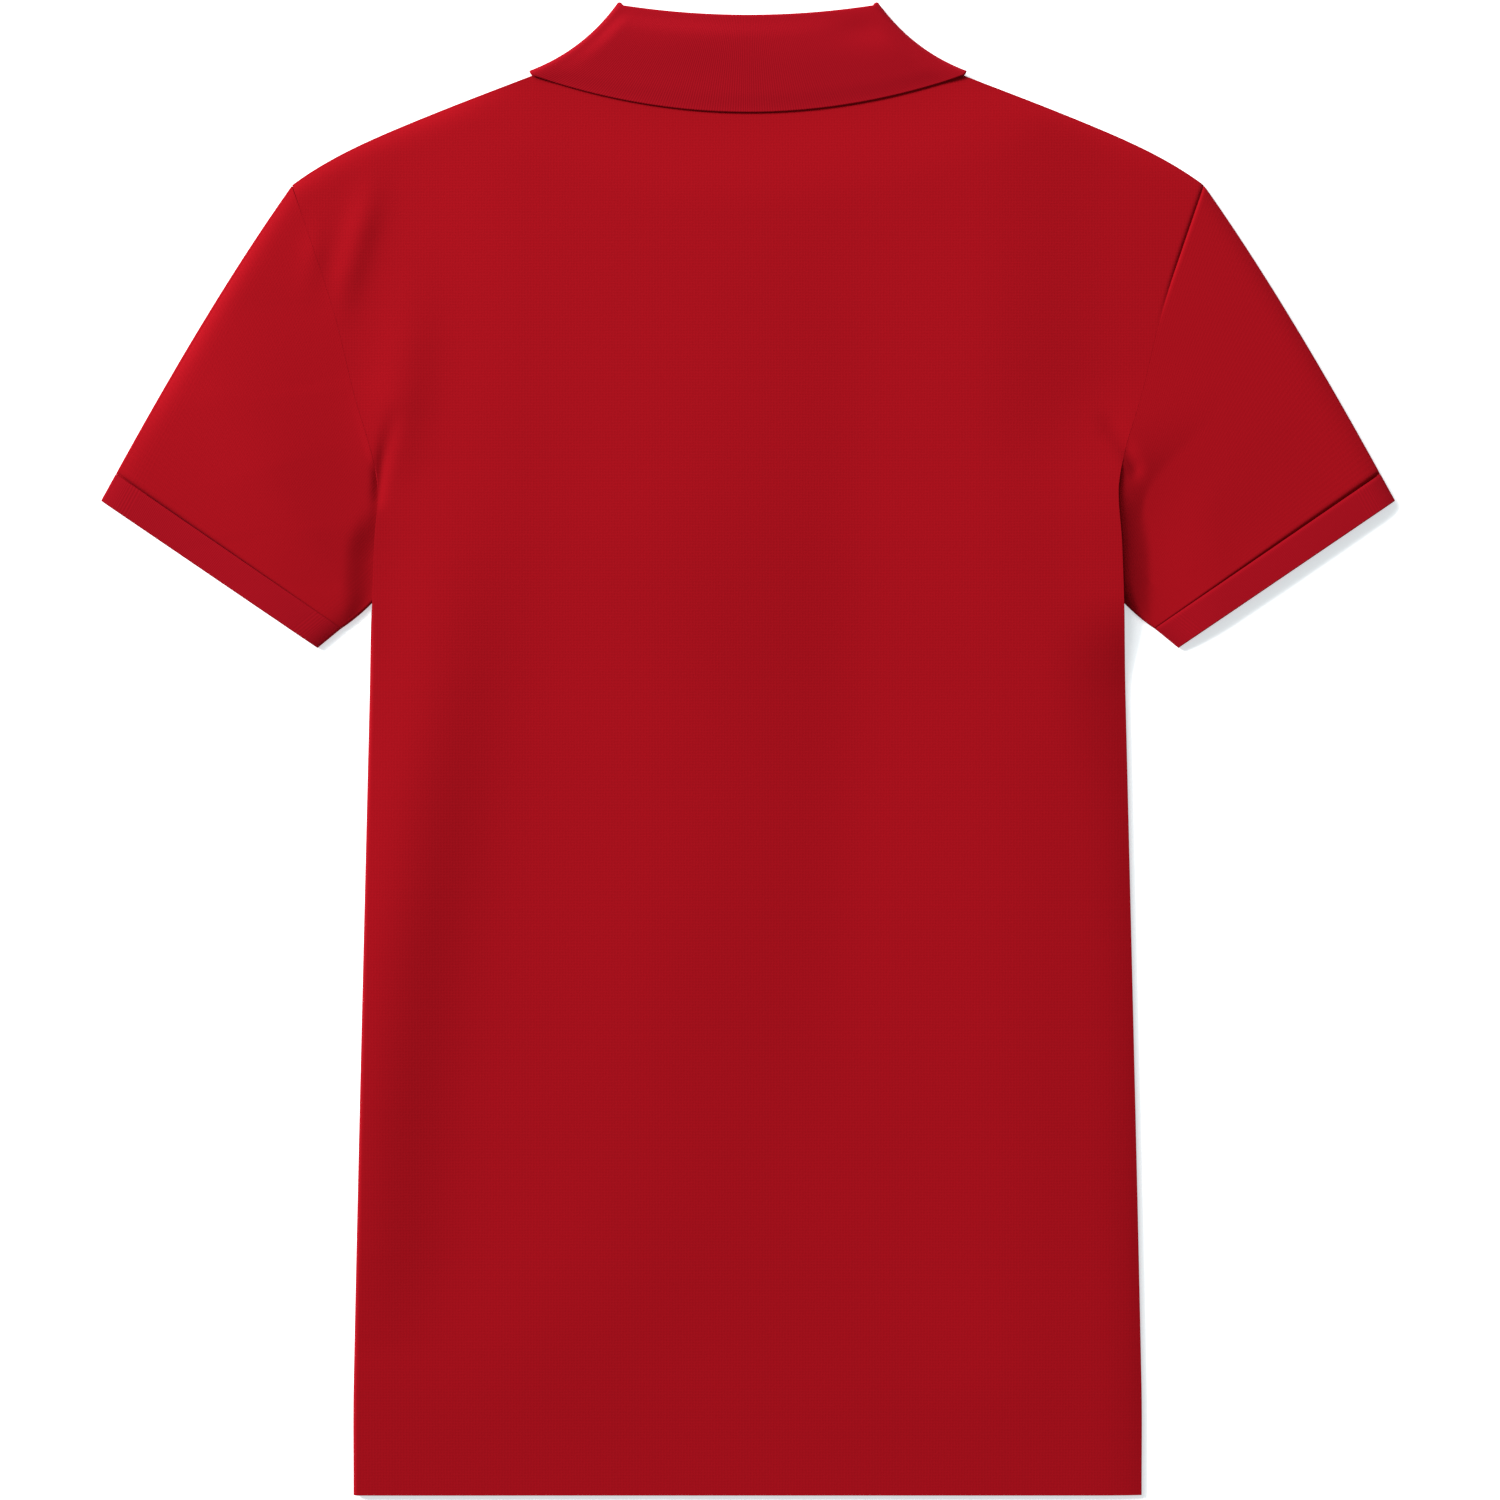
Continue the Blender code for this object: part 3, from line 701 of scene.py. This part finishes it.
def seam_press(distance, depth, width):
    """How far the cloth is pressed in at a distance from a seam."""
    return depth * math.exp(-(max(0.0, distance) / width) ** 2)


def armhole_depth(x, y):
    """Depth of the armhole seam: it shows on the right near the shoulder and fades down the arm."""
    return 0.0 if x < 0 else ARMHOLE_RIGHT * smooth(*ARMHOLE_SHOWS, y)


# Body

def body_point(across, y, side_x, neck_y):
    """Plan of a body panel: level rows up to the underarm, then fanning up to the neck and shoulders."""
    if y <= UNDERARM_Y:
        return Vector((across * side_x(y), y))
    full = side_x(UNDERARM_Y)
    neck = NECK_X / full
    t = (y - UNDERARM_Y) / (TIP_Y - UNDERARM_Y)
    share = abs(across)
    if share <= neck:
        top = Vector((share * full, neck_y(share * full)))
    else:
        x = mix(NECK_X, TIP_X, (share - neck) / (1 - neck))
        top = Vector((x, shoulder_y(x)))
    bottom = Vector((share * full, UNDERARM_Y))
    point = bottom.lerp(top, t)
    drawn = side_x(y) - mix(full, side_x(TIP_Y), t)
    overshoot = side_x(TIP_Y) - TIP_X
    point.x += share ** 3 * (drawn + overshoot * t)
    return Vector((math.copysign(point.x, across), point.y))


def make_back(material):
    full = half_width(UNDERARM_Y)

    def plan(across, y):
        return body_point(across, y, half_width, back_neck_y)

    def place(across, y):
        spot = plan(across, y)
        to_seam = half_width(min(y, TIP_Y)) - abs(spot.x)
        pressed = seam_press(to_seam, armhole_depth(spot.x, spot.y), SEAM_WIDTH)
        return Vector((spot.x, spot.y, back_z(spot.x, spot.y) - pressed))

    def soft(across, y):
        return y < CREASE_Y or abs(across) < 1

    columns = [x / full for x in through([0.0, NECK_X] + edge_stops(full, -1), GRID)]
    columns[-1] = 1.0
    rows = through(edge_stops(HEM_Y, 1) + [UNDERARM_Y, CREASE_Y] + edge_stops(TIP_Y, -1), GRID)
    piece = sheet("back_cloth", both_ways(columns), rows, place, plan, PIQUE, material, soft=soft)
    return piece


def make_front(material):
    full = half_width(UNDERARM_Y)

    def plan(across, y):
        return body_point(across, y, front_side_x, front_neck_y)

    def place(across, y):
        spot = plan(across, y)
        return Vector((spot.x, spot.y, front_z(spot.x, spot.y)))

    def keep(across, y):
        return abs(across) * full > SLOT_HALF or y < slot_row

    slot_row = mix(UNDERARM_Y, TIP_Y, (SLOT_BOTTOM_Y - UNDERARM_Y) / (NECK_FRONT_Y - UNDERARM_Y))
    steep = [NECK_X * math.cos(math.pi / 2 * k / NECK_STEPS) for k in range(NECK_STEPS // 2)]
    columns = [x / full for x in through([0.0, SLOT_HALF] + steep + edge_stops(full, -1)[::3], 2 * GRID)]
    rows = through([HEM_Y, UNDERARM_Y, TUCK_Y, slot_row, CREASE_Y] + edge_stops(TIP_Y, -1)[::3], 2 * GRID)
    piece = sheet("front_cloth", both_ways(columns), rows, place, plan, PIQUE, material, keep=keep)
    return piece


# Sleeves and cuffs

def sleeve_point(a, b):
    """Plan of the right sleeve: a runs from the underarm seam to the folded top, b from body to cuff."""
    tuck = Vector((sleeve_end_x(TUCK_Y), TUCK_Y))
    tip = Vector((sleeve_end_x(TIP_Y), TIP_Y))
    y = mix(TUCK_Y, TIP_Y, a)
    body_end = Vector((sleeve_end_x(y), y))
    cuff_end = mix2(CUFF_SEAM[0], CUFF_SEAM[1], a)
    under = bend(tuck, UNDER_BEND, CUFF_SEAM[0], b)
    top = bend(tip, SLEEVE_BEND, CUFF_SEAM[1], b)
    ruled = mix2(body_end, cuff_end, b) + mix2(under, top, a)
    corners = mix2(mix2(tuck, tip, a), mix2(CUFF_SEAM[0], CUFF_SEAM[1], a), b)
    return ruled - corners


def cuff_point(a, b):
    """Plan of the right cuff: b runs from its seam to its edge."""
    seam = mix2(CUFF_SEAM[0], CUFF_SEAM[1], a)
    edge = mix2(CUFF_EDGE[0], CUFF_EDGE[1], a)
    return mix2(seam, edge, mix(JOIN / (seam - edge).length, 1.0, b))


def ring_steps():
    """Stations round a flattened tube: its lower layer, the folded top, its upper layer, the underarm."""
    steps = [("low", share) for share in steps_between(0, 1, RING_LOW_STEP)]
    steps += [("top turn", angle) for angle in RING_TURN]
    steps += [("from top", run) for run in RING_HIGH]
    steps += [("middle", share) for share in reversed(steps_between(0.0, 1.0, RING_MIDDLE_STEP))]
    steps += [("from under", run) for run in reversed(RING_HIGH)]
    steps += [("under turn", -angle) for angle in RING_TURN]
    return steps


def tube_point(step, b, plan, thickness, settle, press):
    """Point on the middle of a flattened tube's wall at a station of its ring."""
    kind, value = step
    width = (plan(1, b) - plan(0, b)).length

    def high(a):
        spot = plan(a, b)
        from_edge = min(a, 1 - a) * width
        raised = sleeve_loft(spot.x, spot.y) * settle(b) * rim(from_edge, RIM_SLEEVE)
        return max(LEAST_ROOM * LAYER, LAYER + raised - press(spot, b))

    at_top = kind in ("top turn", "from top") or (kind == "low" and value > 0.5)
    turn = high(1 - EDGE_RUN / width if at_top else EDGE_RUN / width) / 2
    run = turn + thickness / 2
    if kind == "low":
        a = min(1 - run / width, max(run / width, value))
        z = 0.0
    elif kind == "middle":
        start = RING_HIGH[-1] / width + RING_INSET
        a = mix(start, 1 - start, value)
        z = high(a)
    elif kind in ("from top", "from under"):
        a = (run + value) / width
        a = 1 - a if kind == "from top" else a
        z = high(a) if value else 2 * turn
    else:
        angle = math.radians(value)
        from_edge = run - turn * math.cos(angle)
        a = from_edge / width
        a = 1 - a if kind == "top turn" else a
        z = turn + turn * math.sin(angle)
    spot = plan(a, b)
    return Vector((spot.x, spot.y, thickness / 2 + z))


def make_tube(name, side, plan, rows, thickness, settle, press, material, soft_end):
    """Flattened tube on one side: plan(a, b) is its right-hand plan. Its border at soft_end is rounded."""
    steps = ring_steps()
    length = (plan(0.5, 1) - plan(0.5, 0)).length
    station_run = (plan(1, 0.5) - plan(0, 0.5)).length * 2 / len(steps)

    def on_side(a, b):
        spot = plan(a, b)
        return Vector((side * spot.x, spot.y))

    def place(station, b):
        return tube_point(steps[station % len(steps)], b, on_side, thickness, settle, press)

    def uv(station, b):
        return station * station_run, b * length

    def soft(station, b):
        return b == soft_end

    stations = list(range(len(steps) + 1))
    return sheet(name, stations, rows, place, uv, thickness, material, ring=True, soft=soft)


def sleeve_press(spot, b):
    """How far the sleeve is pressed in at the armhole and at the cuff's seam."""
    to_armhole = abs(spot.x) - half_width(min(TIP_Y, max(CREASE_Y, spot.y)))
    at_armhole = seam_press(to_armhole, armhole_depth(spot.x, spot.y), SEAM_WIDTH)
    return at_armhole + seam_press((1 - b) * SLEEVE_LENGTH, CUFF_SEAM_DEPTH, CUFF_SEAM_WIDTH)


def cuff_press(spot, b):
    return seam_press(b * CUFF_WIDTH, CUFF_SIDE_DEPTH, SEAM_WIDTH)


def make_sleeve(word, side, cuff_loft, pique, knit):
    """One side's sleeve and its knitted band; cuff_loft is the share of the loft that is left there."""
    def settle(b):
        return mix(1, cuff_loft, smooth(*CUFF_SETTLE, b))

    def cuff_settle(b):
        return cuff_loft

    seam_rows = [run / SLEEVE_LENGTH for run in SEAM_STEPS]
    rows = through(seam_rows + [1 - b for b in seam_rows], SLEEVE_ROW)
    sleeve = make_tube(f"sleeve_{word}_cloth", side, sleeve_point, rows, PIQUE, settle, sleeve_press,
                       pique, None)
    cuff = make_tube(f"cuff_{word}_knit", side, cuff_point, CUFF_ROWS, RIB, cuff_settle, cuff_press,
                     knit, 1.0)
    settle_in(sleeve, f"sleeve_{word}")
    settle_in(cuff, f"cuff_{word}")


def settle_in(piece, node_name):
    """The piece stands for its solid, whose part it hides, and rides on the one body."""
    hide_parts(node_name)
    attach(piece, "root")


# Collar

def side_frame():
    """Directions of the fold at the side of the neck: up along it and out from it."""
    up = (Vector(ROLL_SIDE) - Vector(LEAF_SIDE)).normalized()
    return up, Vector((-up.y, up.x)) * -1


def side_axis(w):
    """Line that the collar folds round at the side, from the leaf's edge (0) to the roll (1)."""
    up, out = side_frame()
    inset = out * (COLLAR_TURN + ROLL_TURN + RIB / 2)
    low = Vector(LEAF_SIDE) - inset
    high = Vector(ROLL_SIDE) - inset - up * (ROLL_TURN + RIB / 2)
    return low.lerp(high, w) - out * SIDE_HOLLOW * 4 * w * (1 - w)


def collar_edges(run, g):
    """Plan points of the stand's, the roll's and the leaf's lines at share g of a run from the side."""
    stand = side_axis(1 - STAND_SHARE)
    roll = side_axis(1)
    leaf = side_axis(0)
    if run == "back":
        share = 1 - g
        return (Vector((stand.x * share, mix(NECK_BACK_Y, stand.y, share ** 2))),
                Vector((roll.x * share, mix(ROLL_BACK_Y - ROLL_TURN - RIB / 2, roll.y, share ** 2))),
                Vector((leaf.x * share, mix(LEAF_BACK_Y, leaf.y, share ** 2))))
    turn = math.pi / 2 * STAND_END * g
    neck = Vector((stand.x * math.cos(turn), stand.y - (stand.y - NECK_FRONT_Y) * math.sin(turn)))
    return neck, bend(roll, ROLL_BEND, ROLL_END, g), bend(leaf, LEAF_BEND, LEAF_END, g)


def collar_plan(run, g, part, w):
    """Plan of the stand or the leaf, w from its free edge to the roll, hollowed near the side."""
    stand, roll, leaf = collar_edges(run, g)
    start = 1 - STAND_SHARE if part == "stand" else 0.0
    free = stand if part == "stand" else leaf
    at_side = mix(start, 1.0, w)
    hollow = side_axis(at_side) - side_axis(start).lerp(side_axis(1), w)
    return free.lerp(roll, w) + hollow * (1 - g) ** 3


def collar_stations():
    """Stations along the strip from its left end at the front, round the back, to its right end."""
    half = [("front", g) for g in reversed(steps_between(*COLLAR_FRONT_RUN, COLLAR_FRONT_STEP))]
    half += [("turn", angle) for angle in range(-90, 91, COLLAR_TURN_STEP)]
    half += [("back", g) for g in steps_between(*COLLAR_BACK_RUN, COLLAR_BACK_STEP)]
    left = [(-1, kind, value) for kind, value in half]
    right = [(1, kind, value) for kind, value in half]
    return left + [(1, "back", 1.0)] + right[::-1]


def leaf_swell(x, y, w):
    """Rise of the leaf's middle: it springs up towards the roll, and its free edge dips to the back."""
    waves = sum(share * math.exp(-((x - cx) / wide) ** 2 - ((y - cy) / tall) ** 2)
                for name, cx, cy, wide, tall, share in COLLAR_WAVES)
    puff = COLLAR_PUFF * smooth(*PUFF_RISE, w) * (1 - smooth(*PUFF_FALL, w))
    return puff * (1 + waves) - COLLAR_DIP * (1 - smooth(*DIP_RUN, w))


def collar_point(station, level):
    """Point on the middle of the collar's wall; level counts leaf, roll and stand lines."""
    side, kind, value = station
    part, share = level
    up, out = side_frame()
    if kind == "turn":
        angle = math.radians(value)
        run, g = "back", 0.0
        normal = Vector((out.x * math.cos(angle), out.y * math.cos(angle), math.sin(angle)))
    else:
        run, g = kind, value
        normal = Vector((0, 0, 1 if kind == "back" else -1))
    body = "leaf" if part == "leaf" else "stand"
    plan = collar_plan(run, g, body, share if part != "roll" else 1.0)
    middle = Vector((plan.x, plan.y, NECK_LEVEL)) + normal * COLLAR_TURN
    if part == "roll":
        stand, roll, leaf = collar_edges(run, g)
        rise = (roll - leaf).normalized()
        bent = math.radians(share)
        point = middle + ROLL_TURN * (math.cos(bent) * normal + math.sin(bent) * Vector((rise.x, rise.y, 0)))
    elif part == "leaf":
        point = middle + ROLL_TURN * normal
        if kind == "back":
            point.z += leaf_swell(side * point.x, point.y, share) * smooth(*PUFF_FROM_SIDE, g)
    else:
        point = middle - ROLL_TURN * normal
    return Vector((side * point.x, point.y, point.z))


def make_collar(material):
    stations = collar_stations()
    levels = [("leaf", w) for w in through(LEAF_STOPS, LEAF_STEP)]
    levels += [("roll", angle) for angle in range(ROLL_STEP, 180, ROLL_STEP)]
    levels += [("stand", w) for w in reversed(steps_between(0.0, 1.0, STAND_STEP))]

    def place(i, j):
        return collar_point(stations[i], levels[j])

    def uv(i, j):
        return i * COLLAR_LENGTH / len(stations), j * COLLAR_DEPTH / len(levels)

    columns = list(range(len(stations)))
    rows = list(range(len(levels)))
    piece = sheet("collar_knit", columns, rows, place, uv, COLLAR_WALL, material)
    settle_in(piece, "collar")


# Placket and buttons

def make_strip(name, node_name, half, bottom, level, material):
    """One flat strip of the placket, with the middle of its wall at the level."""
    def place(x, y):
        return Vector((x, y, level))

    def uv(x, y):
        return x, y

    columns = both_ways(steps_between(0.0, half, STRIP_ACROSS))
    rows = steps_between(bottom, PLACKET_TOP_Y, STRIP_ALONG)
    piece = sheet(name, columns, rows, place, uv, PIQUE, material)
    settle_in(piece, node_name)


def thread(bm, start, end, radius):
    """One stitch: a short six-sided bar between two points."""
    run = end - start
    made = bmesh.ops.create_cone(bm, cap_ends=True, segments=6, radius1=radius, radius2=radius,
                                 depth=run.length)
    turn = run.to_track_quat("Z", "Y").to_matrix().to_4x4()
    turn.translation = (start + end) / 2
    bmesh.ops.transform(bm, matrix=turn, verts=made["verts"])


def finish_threads(name, bm, material):
    """Puts the stitches in bm into the scene, on the one body."""
    mesh = bpy.data.meshes.new(name)
    bm.to_mesh(mesh)
    bm.free()
    mesh.materials.append(material)
    piece = add_object(name, mesh)
    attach(piece, "root")


def sew_line(bm, start, end):
    """Row of stitches, each with a small gap before the next."""
    run = end - start
    count = max(1, round(run.length / STITCH))
    for k in range(count):
        near, far = [start + run * (k + share) / count for share in STITCH_SHARE]
        thread(bm, near, far, THREAD_RADIUS)


def sew_buttonhole(bm, y, z):
    """Ring of stitches drawn out into a long loop round the place of a buttonhole."""
    points = []
    for k in range(BUTTONHOLE_STITCHES):
        angle = 2 * math.pi * k / BUTTONHOLE_STITCHES
        end = BUTTONHOLE_HALF if math.sin(angle) > 0 else -BUTTONHOLE_HALF
        along_y = y + BUTTONHOLE_ROUND * math.sin(angle) + end
        points.append(Vector((BUTTONHOLE_ROUND * math.cos(angle), along_y, z)))
    for k, point in enumerate(points):
        thread(bm, point, points[(k + 1) % BUTTONHOLE_STITCHES], THREAD_RADIUS)


def make_placket(pique, thread_material):
    """Two strips, with a sewn box and crossing below, a line up each side, and the buttonholes' stitches."""
    outer = FRONT_LEVEL + NECK_LIFT
    inner = outer + LAYER
    make_strip("placket_upper_cloth", "placket_upper", SLOT_HALF - GAP, SLOT_BOTTOM_Y + GAP, outer, pique)
    make_strip("placket_under_cloth", "placket_under", UNDER_STRIP_HALF, UNDER_STRIP_BOTTOM_Y, inner, pique)
    z = outer - PIQUE / 2 - THREAD_RADIUS / 2
    side = SLOT_HALF - STITCH_INSET
    low = SLOT_BOTTOM_Y + STITCH_INSET
    box = low + BOX_HEIGHT
    bm = bmesh.new()
    corners = [Vector((x, y, z)) for x, y in ((-side, low), (side, low), (side, box), (-side, box))]
    for k in range(4):
        sew_line(bm, corners[k], corners[(k + 1) % 4])
    sew_line(bm, corners[0], corners[2])
    sew_line(bm, corners[1], corners[3])
    for x in (-side, side):
        sew_line(bm, Vector((x, box, z)), Vector((x, PLACKET_TOP_Y - STITCH_STOP, z)))
    for y in BUTTON_YS:
        sew_buttonhole(bm, y, z)
    finish_threads("placket_stitches", bm, thread_material)


def turned_disc(name):
    """Mesh of the button's outline turned once round."""
    bm = bmesh.new()
    verts = [bm.verts.new((reach, 0, z)) for reach, z in BUTTON_PROFILE]
    edges = [bm.edges.new(pair) for pair in zip(verts, verts[1:])]
    bmesh.ops.spin(bm, geom=verts + edges, cent=(0, 0, 0), axis=(0, 0, 1), angle=2 * math.pi,
                   steps=BUTTON_SEGMENTS)
    bmesh.ops.remove_doubles(bm, verts=bm.verts, dist=1e-6)
    bmesh.ops.recalc_face_normals(bm, faces=bm.faces)
    mesh = bpy.data.meshes.new(name)
    bm.to_mesh(mesh)
    bm.free()
    return mesh


def hole_pins():
    """Mesh of the four pins that cut the holes."""
    bm = bmesh.new()
    for x in (-HOLE_PLACE, HOLE_PLACE):
        for y in (-HOLE_PLACE, HOLE_PLACE):
            made = bmesh.ops.create_cone(bm, cap_ends=True, segments=HOLE_SEGMENTS, radius1=HOLE_RADIUS,
                                         radius2=HOLE_RADIUS, depth=HOLE_DEPTH)
            bmesh.ops.translate(bm, verts=made["verts"], vec=(x, y, HOLE_LEVEL))
    mesh = bpy.data.meshes.new("holes")
    bm.to_mesh(mesh)
    bm.free()
    return mesh


def cut_away(piece, cutter):
    """Takes the cutter's form out of the piece's mesh, then deletes the cutter."""
    cut = piece.modifiers.new("holes", "BOOLEAN")
    cut.object = cutter
    cut.operation = "DIFFERENCE"
    bpy.context.view_layer.update()
    graph = bpy.context.evaluated_depsgraph_get()
    drilled = bpy.data.meshes.new_from_object(piece.evaluated_get(graph))
    piece.modifiers.clear()
    piece.data = drilled
    bpy.data.objects.remove(cutter)


def sew_button(name, y, material):
    """Two pairs of threads, each from hole to hole along the placket."""
    bm = bmesh.new()
    for x in (-HOLE_PLACE, HOLE_PLACE):
        for shift in (-BUTTON_THREAD_SHIFT, BUTTON_THREAD_SHIFT):
            start = Vector((x + shift, y - HOLE_PLACE, BUTTON_THREAD_LEVEL))
            end = Vector((x + shift, y + HOLE_PLACE, BUTTON_THREAD_LEVEL))
            thread(bm, start, end, BUTTON_THREAD)
    finish_threads(name, bm, material)


def make_buttons(material, thread_material):
    """Four-hole buttons, face down: a dished disc with a rounded rim, holes and thread."""
    for number, y in enumerate(BUTTON_YS, 1):
        mesh = turned_disc(f"button_{number}_disc")
        mesh.materials.append(material)
        mesh.shade_smooth()
        disc = add_object(f"button_{number}_disc", mesh)
        cutter = add_object("holes", hole_pins())
        for piece in (disc, cutter):
            piece.location = (0, y, 0)
        cut_away(disc, cutter)
        settle_in(disc, f"button_{number}")
        sew_button(f"button_{number}_thread", y, thread_material)


# Stage

def make_floor():
    """White paper that glows a little, so that the shadow on it stays as pale as in the photo."""
    bpy.ops.mesh.primitive_plane_add(size=FLOOR_SIZE, location=(0, 0, -FLOOR_DROP))
    floor = bpy.context.object
    floor.name = "floor"
    material = bpy.data.materials.new("white_floor")
    material.use_nodes = True
    shader = material.node_tree.nodes["Principled BSDF"]
    shader.inputs["Base Color"].default_value = (*FLOOR_WHITE, 1)
    shader.inputs["Roughness"].default_value = 0.9
    shader.inputs["Specular IOR Level"].default_value = 0.0
    shader.inputs["Emission Color"].default_value = (*FLOOR_GLOW, 1)
    shader.inputs["Emission Strength"].default_value = 1.0
    floor.data.materials.append(material)


def add_light(name, data, place):
    """Light at a place, turned towards the middle of the shirt."""
    light = bpy.data.objects.new(name, data)
    light.location = place
    light.rotation_euler = Vector(place).to_track_quat("Z", "Y").to_euler()
    bpy.context.scene.collection.objects.link(light)


def make_light():
    """Low soft key from the upper left, a broad fill beyond the collar, and an even white sky."""
    key = bpy.data.lights.new("key", "SUN")
    key.energy = KEY_STRENGTH
    key.angle = math.radians(KEY_SPREAD)
    add_light("key", key, KEY_FROM)
    fill = bpy.data.lights.new("fill", "AREA")
    fill.shape = "DISK"
    fill.size = FILL_SIZE
    fill.energy = FILL_POWER
    add_light("fill", fill, FILL_PLACE)
    world = bpy.data.worlds.new("studio")
    world.use_nodes = True
    background = world.node_tree.nodes["Background"]
    background.inputs["Color"].default_value = (1.0, 1.0, 1.0, 1)
    background.inputs["Strength"].default_value = WORLD_STRENGTH
    bpy.context.scene.world = world
    bpy.context.scene.view_settings.view_transform = "Standard"


def make_camera():
    """Straight above, its picture's top towards the collar, with a long lens."""
    data = bpy.data.cameras.new("camera")
    data.lens = LENS
    data.sensor_width = SENSOR
    camera = bpy.data.objects.new("camera", data)
    camera.location = (FRAME_CENTRE[0], FRAME_CENTRE[1], FRAME_WIDTH * LENS / SENSOR)
    bpy.context.scene.collection.objects.link(camera)
    bpy.context.scene.camera = camera


def main():
    pique = cloth_material("pique_cotton", PIQUE_RED, pique_pattern, PIQUE_RELIEF)
    knit = cloth_material("rib_knit_cotton", KNIT_RED, rib_pattern, RIB_RELIEF)
    sewing = cloth_material("sewing_thread", KNIT_RED, rib_pattern, RIB_RELIEF)
    make_floor()
    settle_in(make_front(pique), "front")
    settle_in(make_back(pique), "back")
    make_sleeve("left", -1, CUFF_LOFT_LEFT, pique, knit)
    make_sleeve("right", 1, CUFF_LOFT_RIGHT, pique, knit)
    make_collar(knit)
    make_placket(pique, sewing)
    make_buttons(button_material(), sewing)
    make_light()
    make_camera()


main()
